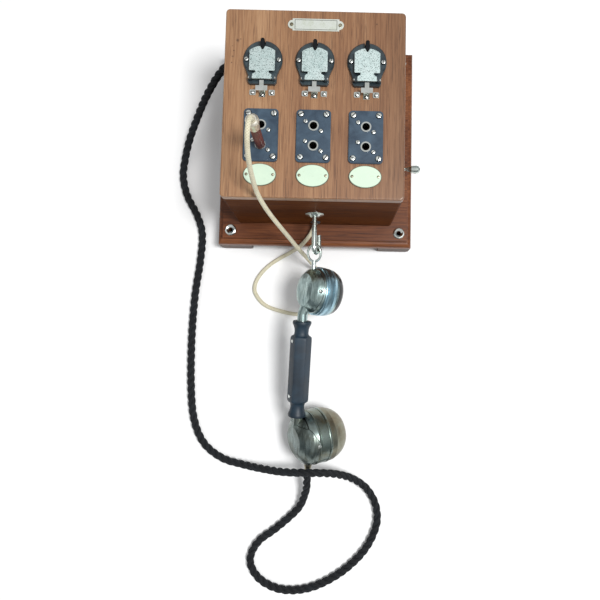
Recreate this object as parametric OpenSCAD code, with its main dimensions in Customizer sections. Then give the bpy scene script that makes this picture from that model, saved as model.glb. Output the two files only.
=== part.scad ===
// Three-line telephone switchboard in a polished wooden case, lying on its back.
// Millimetres. Z = 0 is the table, +Z comes out of the front panel, +Y is the top of the panel.
// The origin is the middle of the four wall screw holes, at the underside of the battens.

/* [Backboard] */
// Width of the moulded backboard
board_w = 234; // [226:1:246]
// Height of the moulded backboard
board_h = 245; // [236:1:256]
// Thickness of the backboard
board_t = 16; // [13:1:20]
// Width of the moulded rim around the raised field
rim_w = 6.3; // [5.5:0.1:8]
// Drop from the raised field to the top of the rim
rim_drop = 5.5; // [3:0.5:6]
// Radius of the round edge of the rim
rim_r = 5; // [3:0.5:5.5]
// Width of each wall batten
batten_w = 39; // [30:1:44]
// Thickness of the wall battens
batten_t = 22; // [14:1:28]
// Bevel along the lower edges of a batten
batten_bevel = 4; // [1:0.5:6]
// Distance between the wall screws, across
wall_hole_x = 202; // [196:1:206]
// Distance between the wall screws, up
wall_hole_y = 213; // [208:1:218]
// Radius of a wall screw hole
wall_hole_r = 2.8; // [2:0.1:3.5]
// Radius of a cup washer over a wall screw hole
eyelet_r = 6.8; // [5.5:0.1:7.5]
// Height of a cup washer
eyelet_h = 1.8; // [1.2:0.1:2.5]

/* [Case] */
// Width of the case
case_w = 184; // [178:1:190]
// Height of the case
case_h = 195.5; // [192:0.5:200]
// Depth of the case from the backboard to the face of the panel
case_d = 119; // [112:1:126]
// Thickness of the case walls
wall_t = 10; // [8:0.5:12]
// Thickness of the front panel
panel_t = 10; // [8:0.5:12]
// Corner radius of the case and the panel
corner_r = 4; // [3:0.5:6]
// Softened edge around the face of the panel
panel_edge = 1.6; // [0.6:0.2:2]
// Side of a glue block in a corner of the case
block_s = 12; // [8:1:14]

/* [Nameplate] */
// Width of the nameplate between its lugs
nameplate_w = 47.5; // [40:0.5:50]
// Height of the nameplate
nameplate_h = 12.8; // [10:0.2:15]
// Radius of the nameplate's lugs
lug_r = 4.7; // [4:0.1:5.5]
// Thickness of the nameplate
nameplate_t = 0.9; // [0.6:0.1:1.5]
// Distance of the nameplate from the middle of the panel
nameplate_y = 81.9; // [80:0.5:84]

/* [Drops] */
// Distance between neighbouring lines
line_pitch = 52.5; // [50:0.5:55]
// Distance of the drops from the middle of the panel
drop_y = 43; // [42:0.5:46]
// Radius of the round base of a drop
base_r = 19.75; // [19:0.25:20.5]
// Thickness of the base
base_t = 4; // [3:0.2:5]
// Width of the lower part of the base, which carries the hinge
ears_w = 28.8; // [27.6:0.2:30]
// Width of a shutter
shutter_w = 25.5; // [24:0.5:26.5]
// Reach of a shutter above the middle of its base
shutter_top = 10.9; // [10.5:0.1:11.5]
// Reach of a shutter's shoulders below the middle of its base
shoulder_drop = 14.4; // [14:0.1:14.8]
// Thickness of a shutter
shutter_t = 1; // [0.8:0.1:1.2]
// Width of the shutter's foot, which runs between the ears
foot_w = 19.2; // [18:0.2:20]
// Distance of the hinge pin below the middle of the base
hinge_drop = 21; // [20.8:0.1:21.4]
// Radius of the hinge pin
pin_r = 1; // [0.8:0.1:1.2]
// Running clearance between a pin and what turns on it
pin_gap = 0.05; // [0.02:0.01:0.08]
// Width of a latch arm
latch_w = 4; // [3.4:0.2:4.4]
// Turn of a latch in degrees when its magnet pulls
latch_turn = 4; // [3:0.5:4.5]
// Radius of a magnet coil
coil_r = 8.6; // [7.5:0.1:9]
// Length of a magnet coil
coil_l = 32; // [26:1:38]

/* [Jacks] */
// Distance of the jack plates below the middle of the panel
jack_y = 34.7; // [33:0.1:36]
// Width of a jack plate
plate_w = 34.6; // [33:0.2:36]
// Height of a jack plate
plate_h = 54.1; // [52:0.2:56]
// Thickness of a jack plate
plate_t = 2.5; // [2:0.1:3.5]
// Corner radius of a jack plate
plate_r = 4; // [3:0.2:5]
// Distance between the two jacks of a line
jack_pitch = 20.4; // [19:0.2:22]
// Bore radius of a jack
jack_bore_r = 3.85; // [3.6:0.05:4]
// Outer radius of a jack's bush
jack_bush_r = 5.25; // [5:0.05:5.5]
// Length of a jack's bush
jack_bush_l = 17; // [14.5:0.5:20]
// How far the bush stands above its plate
bush_proud = 0.9; // [0.4:0.1:1.5]

/* [Labels] */
// Distance of the labels below the middle of the panel
label_y = 75; // [74:0.5:76]
// Width of a label
label_w = 33; // [31:0.5:35]
// Height of a label
label_h = 22.6; // [21:0.2:24]
// Thickness of a label
label_t = 1.8; // [1:0.1:2.5]

/* [Switch hook] */
// Distance of the hook rod to the right of the middle
hook_x = 1.1; // [0.5:0.1:1.5]
// Distance of the hook rod from the backboard
hook_rise = 53; // [52.5:0.1:53.5]
// Radius of the hook rod
rod_r = 2.8; // [2.4:0.1:2.9]
// Radius of the hook's bend at its centre line
bend_r = 5.5; // [5.3:0.1:6]
// Distance from the case to the middle of the bend
hook_drop = 36.6; // [36.3:0.1:36.9]
// Length of the hook's tip leg
tip_l = 14.4; // [12:0.2:16]
// Turn of the hook's tip to the right in degrees
hook_turn = 26; // [24:1:28]
// Radius of the rosette around the rod
rosette_r = 10.5; // [9:0.5:12]
// Running clearance of the rod in its guide
rod_gap = 0.08; // [0.04:0.01:0.1]

/* [Side lever] */
// Distance of the lever below the middle of the case
lever_y = 54; // [50:0.5:58]
// Distance of the lever from the face of the panel
lever_depth = 37; // [32:0.5:42]
// Length of the knob outside the case
knob_l = 21; // [19:0.5:23]
// Largest radius of the knob
knob_r = 4.4; // [3.8:0.1:5]
// Travel of the lever to each side in degrees
lever_turn = 12; // [6:1:14]

/* [Plug] */
// Radius of the plug's pin
plug_pin_r = 3.8; // [3.55:0.05:3.95]
// Radius of the plug's fibre sleeve
sleeve_r = 4.8; // [4.6:0.1:5.2]
// Length of the sleeve
sleeve_l = 44; // [40:1:50]
// Length of the metal cap at the cord's end of the plug
cap_l = 18; // [15:1:20]
// Radius of the rim of the cap
cap_r = 6.2; // [5.8:0.1:6.6]

/* [Cords] */
// Diameter of the black handset cord
black_d = 9.5; // [8.5:0.1:9.6]
// Diameter of the cream plug cord
cream_d = 4.8; // [4.2:0.1:4.9]

/* [Handset] */
// Rise of the handset from the table in degrees
handset_tilt = 11; // [10.5:0.1:11.5]
// Roll of the handset in degrees
handset_roll = 30; // [29:0.5:31]
// Length of the grip
grip_l = 110; // [104:1:114]
// Corner radius of the six-sided grip
grip_r = 12.4; // [11.5:0.1:13]
// Radius of the tube through the grip
tube_r = 4.8; // [4:0.1:5.2]
// Radius of the receiver's case
receiver_r = 27; // [26:0.1:28]
// Depth of the receiver from its back to the ear cap
receiver_d = 31.5; // [29:0.5:33]
// Depth of the ear cap
ear_cap_d = 9; // [7:0.5:11]
// Radius of the transmitter
transmitter_r = 31.5; // [30.5:0.1:32]
// Depth of the transmitter's back
transmitter_d = 32; // [30:0.5:33]
// Depth of the transmitter's domed front
dome_d = 29.8; // [28:0.2:31]
// Thickness of the two yokes that hold the receiver and the transmitter
yoke_plate = 1.1; // [0.8:0.1:1.4]
// Half the width of the hanging ring at the middle of its wire
ring_r = 7.5; // [7.3:0.1:7.7]
// Half the length of the hanging ring at the middle of its wire
ring_l = 9.3; // [9.1:0.1:9.5]
// Radius of the ring's wire
wire_r = 1.4; // [1.2:0.1:1.5]

/* [Hidden] */
$fn = 48;
e = 0.01;

// Levels and walls
field_z = batten_t + board_t;
face_z = field_z + case_d;
panel_back = face_z - panel_t;
frame_d = case_d - panel_t;
inner_w = case_w - 2 * wall_t;
inner_h = case_h - 2 * wall_t;
case_screw_x = inner_w / 2 - 32;
case_screw_r = 2;
case_screw_fit = 0.1;

// Drops: heights above the face of the panel
pin_z = base_t + 3;
barrel_r = pin_r + 0.75;
shutter_z = pin_z + barrel_r - shutter_t;
ear_gap = 0.5;
ear_z = pin_z + pin_r + 1;
ear_in = foot_w / 2 + ear_gap;
ear_t = 2.4;
ear_out = ear_in + ear_t;
foot_drop = hinge_drop + 1.8;
rail_drop = hinge_drop + 5;
latch_y = 16.6;
latch_t = 2.2;
latch_pivot_z = -panel_t - 4.8;
latch_slot_low = latch_y - latch_t / 2 - 0.4;
latch_slot_up = latch_y + latch_t / 2 - latch_pivot_z * tan(latch_turn) + 0.5;
hook_tip_y = shutter_top - 2.9;
notch_gap = 0.5;
yoke_w = 16;
yoke_t = 2;
yoke_y = latch_y - 2.6 - yoke_t;
core_r = 3.5;
coil_gap = 0.05;
coil_y = latch_y + 9.2;
pole_z = latch_pivot_z - 3;
coil_top = pole_z - 1.4;
coil_bottom = coil_top - coil_l;
contact_z = pin_z + 0.6;
contact_top = foot_drop + 1.4;
contact_bar = contact_top + 5.4;
contact_foot = contact_bar + 5.2;
leaf_t = 0.8;

// Jacks
bush_gap = 0.05;
jack_at = [-jack_pitch / 2, jack_pitch / 2];
bush_top = face_z + plate_t + bush_proud;
bush_bottom = bush_top - jack_bush_l;

// Switch hook and side lever
rod_z = field_z + hook_rise;
case_bottom = -case_h / 2;
bend_y = case_bottom - hook_drop;
rod_top = case_bottom + wall_t + 30;
guide_r = rod_r + 2.2;
guide_l = wall_t + 8;
spring_turns = 6;
spring_r = rod_r + 1.4;
spring_wire = 0.6;
lever_z = face_z - lever_depth;
lever_pivot_x = case_w / 2 - wall_t - 8;
lever_r = 2;
lever_slot = 2 * ((case_w / 2 - lever_pivot_x) * tan(lever_turn) + lever_r / cos(lever_turn) + 0.4);

// Plug, in the lower jack of line 1
plug_x = -line_pitch;
plug_y = -jack_y - jack_pitch / 2;
sleeve_z = bush_top + 0.1;
collar_z = sleeve_z + sleeve_l;
cap_z = collar_z + cap_l;

// Handset: where the middle of its grip hangs, and its own frame (x to the ear, y to the ring)
grip_at = [hook_x - 14.1, bend_y - 135.65, rod_z - 27.1];
handset_yaw = -2.5;
flange_at = [15, 89];
seam_at = [30.6, -80.7];
receiver_lean = -7;
transmitter_lean = 6;
ring_at = [10.3, 131.6];
ring_roll = -42;
shank_r = 2.6;
tail_at = [18.6, -113.5];
tail_l = 9;
tail_r = 3.4;
grip_end_r = 0.75 * grip_r;
neck_r = 5.6;
stump_x = 1.5;
cup_screw_at = [7.6, 91.5, 24.7];
pivot_screw_at = [15.1, -81.7, 31.2];
screw_seat_r = 2.3;

// Routes of the cords, through the middles of the cords
black_gland = [-case_w / 2, 80, 80];
// From the case to the crossing of the cord, and from there as seen from the middle of the grip
black_start = [
    [-90, 80, 80], [-104, 78, 78.5], [-119, 67, 67], [-135, 51, 49], [-149, 33, 30],
    [-161, 12, 14.5], [-168, -13, 6.2], [-169.3, -34, 4.9], [-163, -58, 4.9], [-150, -82, 4.9],
    [-142.5, -106, 4.9], [-143.5, -140, 4.9], [-148.5, -185, 4.9], [-150.4, -240, 4.9]
];
black_end = [
    [-148.5, -30, 4.9], [-143, -68, 4.9], [-130, -95, 4.9], [-107, -112, 6],
    [-78, -118.5, 12], [-51, -121, 23.5], [-29, -121, 35], [-6.8, -119.8, 42.5],
    [14, -120.5, 39], [34, -124.3, 27.5], [53, -132.5, 14], [70, -146, 6], [81, -166, 4.9],
    [81.5, -190, 4.9], [67, -219, 4.9], [39, -245, 4.9], [4, -262.5, 4.9], [-30, -265.5, 4.9],
    [-57, -254, 4.9], [-69.5, -233, 4.9], [-61, -211, 4.9], [-38, -193, 4.9],
    [-13.5, -170, 6.5], [-4.4, -147, 18.5], [-2.79, -132.6, 27.94], [-2.08, -119.12, 31.39]
];
black_route = concat(black_start, [for (p = black_end) [p[0], p[1] + grip_at[1], p[2]]]);
cream_gland = [1, case_bottom, field_z + 13];
cream_route = [
    [plug_x, plug_y, cap_z - 2.6], [plug_x, plug_y - 0.2, cap_z + 4], [-53, -48.2, 231],
    [-53.6, -54.5, 234.2], [-54.3, -62, 232.4], [-55, -69, 226], [-55.4, -76, 216],
    [-55.4, -82.5, 203.5], [-54.6, -89.5, 187.5], [-52.6, -97, 170], [-48, -104.5, 153.5],
    [-41.5, -112, 136], [-34.3, -118.5, 116], [-27.2, -124.5, 95], [-20.7, -130, 74],
    [-14.6, -134.5, 54], [-8.7, -138.5, 36], [-2.5, -143.5, 20.5], [4.5, -150, 9.6],
    [11, -158, 4.2], [14.5, -168, 2.6], [14.5, -180, 2.6], [9, -192, 2.6], [-2, -200.7, 2.6],
    [-17, -204.6, 2.6], [-38, -202, 2.6], [-61, -194, 2.6], [-73.5, -179.5, 2.6],
    [-74, -167, 2.6], [-67.5, -154.5, 2.6], [-56.5, -143, 2.6], [-44, -134.5, 3.8], [-34, -130, 10],
    [-26, -127.2, 20.5], [-18.5, -124.4, 31.5], [-11.7, -119.5, 40], [-5.2, -112.2, 46],
    [-0.6, case_bottom - 6.2, 49.8], [0.8, case_bottom - 1.5, 50.8], [1, case_bottom + 3.75, 51]
];

// ---- Shared shapes ----

// A flat plate outline with round corners
module round_rect(w, h, r) {
    square([w - 2 * r, h], center = true);
    square([w, h - 2 * r], center = true);
    for (x = [-1, 1], y = [-1, 1])
        translate([x * (w / 2 - r), y * (h / 2 - r)]) circle(r);
}

// Points of an outline with round corners, for a body whose edge is softened
function round_rect_points(w, h, r, steps) = [
    for (q = [0:3], k = [0:steps])
        let (a = 90 * q + 90 * k / steps, sx = (q == 0 || q == 3) ? 1 : -1, sy = q < 2 ? 1 : -1)
        [sx * (w / 2 - r) + r * cos(a), sy * (h / 2 - r) + r * sin(a)]
];

// A slab whose upper edge is rounded over
module soft_slab(w, h, t, r, edge) {
    hull() for (k = [0:3]) let (a = 30 * k, inset = edge * (1 - cos(a)))
        linear_extrude(t - edge + edge * sin(a))
            polygon(round_rect_points(w - 2 * inset, h - 2 * inset, r - inset / 2, 6));
}

// A round slotted screw head standing on z = 0, with its shank below
module screw(r, h, shank_r = 0, shank_l = 0, slot = 40) {
    difference() {
        rotate_extrude() polygon([[0, 0], [r, 0], [r, 0.4 * h], [0.8 * r, 0.85 * h], [0.45 * r, h], [0, h]]);
        rotate([0, 0, slot]) translate([-r - 1, -0.14 * r, 0.55 * h]) cube([2 * r + 2, 0.28 * r, h]);
    }
    if (shank_l > 0) translate([0, 0, -shank_l]) cylinder(r = shank_r, h = shank_l + e);
}

// A ring of given section radii
module tube(r_out, r_in, h) {
    difference() {
        cylinder(r = r_out, h = h);
        translate([0, 0, -1]) cylinder(r = r_in, h = h + 2);
    }
}

module at_lines() {
    for (i = [-1:1]) translate([i * line_pitch, 0, 0]) children();
}

module at_drop(i) {
    translate([(i - 2) * line_pitch, drop_y, face_z]) children();
}

module at_jack_plate(i) {
    translate([(i - 2) * line_pitch, -jack_y, face_z]) children();
}

module at_wall_holes(z) {
    for (x = [-1, 1], y = [-1, 1]) translate([x * wall_hole_x / 2, y * wall_hole_y / 2, z]) children();
}

module at_case_screws(z) {
    for (x = [-1, 1], y = [-1, 1])
        translate([x * case_screw_x, y * (case_h - wall_t) / 2, z]) children();
}

module in_handset() {
    translate(grip_at) rotate([0, 0, handset_yaw]) rotate([handset_tilt, 0, 0])
        rotate([0, handset_roll, 0]) children();
}

// The receiver's own axis is z here, from its back towards the ear
module at_receiver() {
    in_handset() translate([flange_at[0], flange_at[1], 0]) rotate([0, 0, receiver_lean])
        rotate([0, 90, 0]) children();
}

module at_transmitter() {
    in_handset() translate([seam_at[0], seam_at[1], 0]) rotate([0, 0, transmitter_lean])
        rotate([0, 90, 0]) children();
}

// ---- Backboard ----

module wall_battens() {
    color("#5a3320") for (s = [-1, 1]) difference() {
        translate([s * (board_w - batten_w) / 2, 0, 0]) rotate([90, 0, 0])
            linear_extrude(board_h, center = true) polygon([
                [-batten_w / 2 + batten_bevel, 0], [batten_w / 2 - batten_bevel, 0],
                [batten_w / 2, batten_bevel], [batten_w / 2, batten_t],
                [-batten_w / 2, batten_t], [-batten_w / 2, batten_bevel]
            ]);
        at_wall_holes(-1) cylinder(r = wall_hole_r, h = batten_t + 2);
    }
}

// Section of the board: its raised field, the quirk and the rounded rim
module board_section(w) {
    rim_t = board_t - rim_drop;
    translate([-w / 2, 0]) square([w, rim_t - rim_r]);
    translate([-w / 2 + rim_r, 0]) square([w - 2 * rim_r, rim_t]);
    translate([-w / 2 + rim_w, 0]) square([w - 2 * rim_w, board_t]);
    for (s = [-1, 1]) intersection() {
        translate([s * (w / 2 - rim_r), rim_t - rim_r]) circle(rim_r);
        translate([-w / 2, 0]) square([w, rim_t]);
    }
}

module backboard() {
    color("#7a4a2c") difference() {
        translate([0, 0, batten_t]) intersection() {
            rotate([90, 0, 0]) linear_extrude(board_h + 2, center = true) board_section(board_w);
            rotate([90, 0, 90]) linear_extrude(board_w + 2, center = true) board_section(board_h);
        }
        at_wall_holes(batten_t - 1) cylinder(r = wall_hole_r, h = board_t + 2);
        at_case_screws(batten_t - 1) cylinder(r = case_screw_r + case_screw_fit, h = board_t + 2);
    }
}

module wall_eyelets() {
    color("#c8cac8") at_wall_holes(field_z) rotate_extrude() polygon([
        [wall_hole_r, 0], [eyelet_r, 0], [eyelet_r, 0.25 * eyelet_h], [0.86 * eyelet_r, 0.85 * eyelet_h],
        [0.74 * eyelet_r, eyelet_h], [0.64 * eyelet_r, 0.85 * eyelet_h], [wall_hole_r, 0.35 * eyelet_h]
    ]);
}

module case_screws() {
    color("#8f8c84") at_case_screws(batten_t) rotate([180, 0, 0])
        screw(4, 1.8, case_screw_r, board_t);
}

// ---- Case ----

module case_frame() {
    color("#6b3d24") difference() {
        translate([0, 0, field_z]) linear_extrude(frame_d) difference() {
            round_rect(case_w, case_h, corner_r);
            difference() {
                square([inner_w, inner_h], center = true);
                for (x = [-1, 1], y = [-1, 1]) translate([x * inner_w / 2, y * inner_h / 2]) rotate(45)
                    square(block_s * sqrt(2), center = true);
            }
        }
        // hole for the hook's guide
        translate([hook_x, case_bottom - 1, rod_z]) rotate([-90, 0, 0])
            cylinder(r = guide_r + bush_gap, h = wall_t + 2);
        // slot for the side lever
        translate([inner_w / 2 - 1, -lever_y - lever_slot / 2, lever_z - lever_r - 0.5])
            cube([wall_t + 2, lever_slot, 2 * lever_r + 1]);
        // cord holes
        at_glands() translate([0, 0, -wall_t - 1]) cylinder(r = gland_hole($gland_d), h = wall_t + 2);
    }
}

// The glands' own axis is z, pointing out of the case
module at_glands() {
    translate(black_gland) rotate([0, -90, 0]) let ($gland_d = black_d) children();
    translate(cream_gland) rotate([90, 0, 0]) let ($gland_d = cream_d) children();
}

function gland_hole(d) = d / 2 + 1.6;

module cord_glands() {
    color("#2a2622") at_glands() rotate_extrude() polygon([
        [$gland_d / 2 + 0.3, -wall_t], [gland_hole($gland_d) - bush_gap, -wall_t],
        [gland_hole($gland_d) - bush_gap, 0], [gland_hole($gland_d) + 1.8, 0],
        [gland_hole($gland_d) + 1.4, 1.2], [$gland_d / 2 + 1.2, 1.8], [$gland_d / 2 + 0.3, 1.2]
    ]);
}

module front_panel() {
    color("#9a6a48") difference() {
        translate([0, 0, panel_back]) soft_slab(case_w, case_h, panel_t, corner_r, panel_edge);
        at_lines() for (y = jack_at) translate([0, y - jack_y, panel_back - 1])
            cylinder(r = jack_bush_r + bush_gap, h = panel_t + 2);
        at_lines() translate([-latch_w / 2 - 0.6, drop_y + latch_slot_low, panel_back - 1])
            cube([latch_w + 1.2, latch_slot_up - latch_slot_low, panel_t + 2]);
    }
}

module nameplate() {
    color("#c9cdc9") translate([0, nameplate_y, face_z]) linear_extrude(nameplate_t) {
        square([nameplate_w, nameplate_h], center = true);
        for (s = [-1, 1]) translate([s * nameplate_w / 2, 0]) circle(lug_r);
    }
}

module name_screws() {
    color("#77756c") {
        for (s = [-1, 1]) translate([s * (nameplate_w / 2 + 1), nameplate_y, face_z + nameplate_t])
            screw(1.9, 0.9, slot = 20 * s);
        at_lines() for (s = [-1, 1]) translate([s * 0.4 * label_w, -label_y, face_z + label_t])
            screw(1.5, 0.8, slot = 35 * s);
    }
}

// ---- Drops ----

module drop_base(i) {
    color("#20242c") at_drop(i) difference() {
        union() {
            rotate_extrude($fn = 96) polygon([
                [0, 0], [base_r, 0], [base_r, base_t - 1.4], [base_r - 1.4, base_t], [0, base_t]
            ]);
            linear_extrude(base_t) polygon([
                [-0.86 * base_r, -0.5 * base_r], [0.86 * base_r, -0.5 * base_r],
                [ears_w / 2, -0.86 * base_r], [ears_w / 2, -hinge_drop - 2.5],
                [ear_out, -rail_drop], [-ear_out, -rail_drop],
                [-ears_w / 2, -hinge_drop - 2.5], [-ears_w / 2, -0.86 * base_r]
            ]);
            // ears that carry the hinge pin
            for (s = [-1, 1]) translate([s * (ear_in + ear_t / 2), -hinge_drop, 0])
                linear_extrude(ear_z) square([ear_t, 5], center = true);
        }
        translate([0, -hinge_drop, pin_z]) rotate([0, 90, 0])
            cylinder(r = pin_r + pin_gap / 2, h = ears_w, center = true);
        // slot for the latch's arm
        translate([-latch_w / 2 - 0.6, latch_slot_low, -1]) cube([latch_w + 1.2, base_r, base_t + 2]);
    }
}

module shutter_outline() {
    neck = 0.53 * shutter_w / 2;
    foot = foot_w / 2;
    top_r = 0.78 * shutter_w;
    neck_drop = shoulder_drop + 2.2;
    foot_top = shoulder_drop + 4;
    difference() {
        union() {
            intersection() {
                translate([0, (shutter_top - shoulder_drop) / 2])
                    round_rect(shutter_w, shutter_top + shoulder_drop, 1.2);
                // rounded upper edge
                translate([0, shutter_top - top_r]) circle(top_r, $fn = 96);
            }
            polygon([
                [-neck, -shoulder_drop + 1], [neck, -shoulder_drop + 1], [neck, -neck_drop],
                [foot, -foot_top], [foot, -foot_drop], [-foot, -foot_drop], [-foot, -foot_top],
                [-neck, -neck_drop]
            ]);
        }
        // notch that the latch's tip lies in
        translate([0, hook_tip_y]) polygon([
            [-latch_w / 2 - notch_gap, 4], [-latch_w / 2 - notch_gap, 2.6], [-0.7, -notch_gap],
            [0.7, -notch_gap], [latch_w / 2 + notch_gap, 2.6], [latch_w / 2 + notch_gap, 4]
        ]);
    }
}

module shutter(i) {
    color("#c3c9c4") at_drop(i) difference() {
        union() {
            translate([0, 0, shutter_z]) linear_extrude(shutter_t) shutter_outline();
            translate([0, -hinge_drop, pin_z]) rotate([0, 90, 0])
                cylinder(r = barrel_r, h = foot_w, center = true);
        }
        translate([0, -hinge_drop, pin_z]) rotate([0, 90, 0])
            cylinder(r = pin_r + pin_gap, h = foot_w + 2, center = true);
    }
}

// Hinge pins with a round head at each end
module shutter_pins() {
    color("#b8bab4") for (i = [1:3]) at_drop(i) translate([0, -hinge_drop, pin_z]) rotate([0, 90, 0]) {
        cylinder(r = pin_r, h = 2 * ear_out + 1, center = true);
        for (s = [0, 180]) rotate([s, 0, 0]) translate([0, 0, ear_out + 0.05]) rotate_extrude()
            polygon([[0, 0], [1.5, 0], [1.5, 0.7], [1, 1.4], [0, 1.6]]);
    }
}

module drop_screws() {
    color("#c9ccca") for (i = [1:3]) at_drop(i) for (s = [-1, 1])
        translate([s * 0.825 * base_r, -0.8, base_t]) screw(2.5, 1.5, slot = 35 + 20 * s + 15 * i);
}

// A leaf with a T-shaped top, and the two terminals beside its foot
module bell_contacts() {
    lug_y = -contact_foot + 1.2;
    color("#c3c9c4") for (i = [1:3]) at_drop(i) {
        translate([0, 0, contact_z]) linear_extrude(leaf_t) {
            translate([-2.15, -contact_bar - 1]) square([4.3, contact_bar - contact_top + 1]);
            translate([-5.9, -contact_foot]) square([11.8, contact_foot - contact_bar]);
        }
        translate([-3.2, -contact_bar - 2, 0]) cube([6.4, leaf_t, contact_z + e]);
        translate([-3.2, -contact_foot - 3.4, 0]) cube([6.4, contact_foot - contact_bar + 2.2, leaf_t]);
        for (s = [-1, 1]) translate([s * 9.6, lug_y, 0]) linear_extrude(1) round_rect(6.2, 5.8, 1.2);
    }
}

module contact_screws() {
    color("#a9a79c") for (i = [1:3]) at_drop(i) {
        translate([0, -contact_foot - 0.9, leaf_t]) screw(2.2, 1.3, slot = 60 - 15 * i);
        for (s = [-1, 1]) translate([s * 9.6, -contact_foot + 1.2, 1])
            screw(2.1, 1.5, slot = 25 * i + 30 * s);
    }
}

// The armature, its arm through the panel and the hooked tip over the shutter
module latch(i) {
    color("#1d1f22") at_drop(i) difference() {
        union() {
            translate([0, latch_y, latch_pivot_z]) rotate([0, 90, 0])
                cylinder(r = pin_r + 1.2, h = yoke_w - 5, center = true);
            translate([-latch_w / 2, latch_y - latch_t / 2, latch_pivot_z])
                cube([latch_w, latch_t, shutter_z + 2.6 - latch_pivot_z]);
            translate([-yoke_w / 2 + 2.5, latch_y, latch_pivot_z - 1])
                cube([yoke_w - 5, coil_y + core_r - latch_y, 1.8]);
            translate([0, 0, shutter_z + 0.2]) linear_extrude(2.4) polygon([
                [-latch_w / 2, latch_y], [-latch_w / 4, latch_y + latch_t / 2 + 0.9],
                [latch_w / 4, latch_y + latch_t / 2 + 0.9], [latch_w / 2, latch_y],
                [latch_w / 2, hook_tip_y + 3.2], [0.4, hook_tip_y + 0.2],
                [-0.4, hook_tip_y + 0.2], [-latch_w / 2, hook_tip_y + 3.2]
            ]);
        }
        translate([0, latch_y, latch_pivot_z]) rotate([0, 90, 0])
            cylinder(r = pin_r + pin_gap, h = yoke_w, center = true);
    }
}

// Iron frame of each magnet with its core, cheeks and armature pin
module drop_yokes() {
    back_z = coil_bottom - yoke_t - 0.2;
    cheek_h = 4.7;
    color("#6d6f70") for (i = [1:3]) at_drop(i) {
        translate([-yoke_w / 2, yoke_y, back_z]) cube([yoke_w, yoke_t, -panel_t - back_z]);
        translate([-yoke_w / 2, yoke_y - 8, -panel_t - yoke_t]) cube([yoke_w, 8 + e, yoke_t]);
        translate([-yoke_w / 2, yoke_y, back_z]) cube([yoke_w, coil_y + coil_r - yoke_y, yoke_t]);
        translate([0, coil_y, back_z]) cylinder(r = core_r, h = pole_z - back_z);
        for (s = [-1, 1]) translate([s * (yoke_w / 2 - 0.9) - 0.9, yoke_y, latch_pivot_z - 3])
            cube([1.8, latch_y - yoke_y + 2.6, cheek_h]);
        translate([0, latch_y, latch_pivot_z]) rotate([0, 90, 0])
            cylinder(r = pin_r, h = yoke_w, center = true);
    }
}

module drop_coil(i) {
    color("#3d5a34") at_drop(i) translate([0, coil_y, coil_bottom]) rotate_extrude() polygon([
        [core_r + coil_gap, 0], [coil_r, 0], [coil_r, 1.5], [coil_r - 1, 1.5],
        [coil_r - 1, coil_l - 1.5], [coil_r, coil_l - 1.5], [coil_r, coil_l], [core_r + coil_gap, coil_l]
    ]);
}

// ---- Jacks ----

module jack_plate(i) {
    color("#2b3340") at_jack_plate(i) difference() {
        union() {
            linear_extrude(plate_t - 0.6) round_rect(plate_w, plate_h, plate_r);
            linear_extrude(plate_t) round_rect(plate_w - 1.2, plate_h - 1.2, plate_r - 0.6);
        }
        for (y = jack_at) translate([0, y, -1]) cylinder(r = jack_bush_r + bush_gap, h = plate_t + 2);
    }
}

module plate_screws() {
    color("#c9ccca") for (i = [1:3]) at_jack_plate(i) for (x = [-1, 1], y = [-1, 1])
        translate([x * (plate_w / 2 - 4.6), y * (plate_h / 2 - 5), plate_t])
            screw(3.1, 1.5, slot = 50 * x + 35 * y + 20 * i);
}

module jack_screws() {
    color("#b9bcb8") for (i = [1:3]) at_jack_plate(i) for (y = jack_at) {
        translate([-8, y + 4.6, plate_t]) screw(2.3, 1.1, slot = 20 + 25 * i + y);
        translate([7.6, y - 5.2, plate_t]) screw(2.3, 1.1, slot = 75 - 15 * i - y);
    }
}

module jack_bushes() {
    color("#d2d4d0") at_lines() for (y = jack_at) translate([0, y - jack_y, bush_bottom])
        tube(jack_bush_r, jack_bore_r, jack_bush_l);
}

// Two leaves beside each plug's tip, held in an insulating stack under the panel
module jack_springs() {
    color("#b98e4a") at_lines() for (y = jack_at) translate([0, y - jack_y, 0]) {
        translate([9, -7, panel_back - 14]) cube([7, 14, 14]);
        for (k = [-1, 1]) translate([-5, k * 4.9 - 1.5, panel_back - 10 - 2 * k]) cube([14 + e, 3, 0.7]);
    }
}

// ---- Labels ----

module label(i) {
    color("#ece9d6") translate([(i - 2) * line_pitch, -label_y, face_z]) {
        linear_extrude(label_t - 0.5) polygon([
            for (a = [0:7.5:359]) [label_w / 2 * cos(a), label_h / 2 * sin(a)]
        ]);
        linear_extrude(label_t) polygon([
            for (a = [0:7.5:359]) [(label_w / 2 - 0.7) * cos(a), (label_h / 2 - 0.7) * sin(a)]
        ]);
    }
}

// ---- Switch hook ----

// The rod's own axis is z, pointing out of the case
module at_rod() {
    translate([hook_x, case_bottom, rod_z]) rotate([90, 0, 0]) children();
}

module hook_rosette() {
    color("#bfc2be") at_rod() rotate_extrude() polygon([
        [rod_r + 0.5, 0], [rosette_r, 0], [rosette_r, 0.6], [0.62 * rosette_r, 1.3],
        [rod_r + 2.4, 3], [rod_r + 0.5, 3]
    ]);
}

module hook_guide() {
    color("#b98e4a") at_rod() translate([0, 0, -guide_l]) tube(guide_r, rod_r + rod_gap, guide_l);
}

// The bend lies in a plane turned to the right; its angle runs from the rod to the tip's leg
function hook_point(a, along = 0) =
    let (r = bend_r * (1 - cos(a)), d = [sin(hook_turn), 0, -cos(hook_turn)])
    [hook_x, bend_y, rod_z] + r * d + [0, along - bend_r * sin(a), 0];

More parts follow.
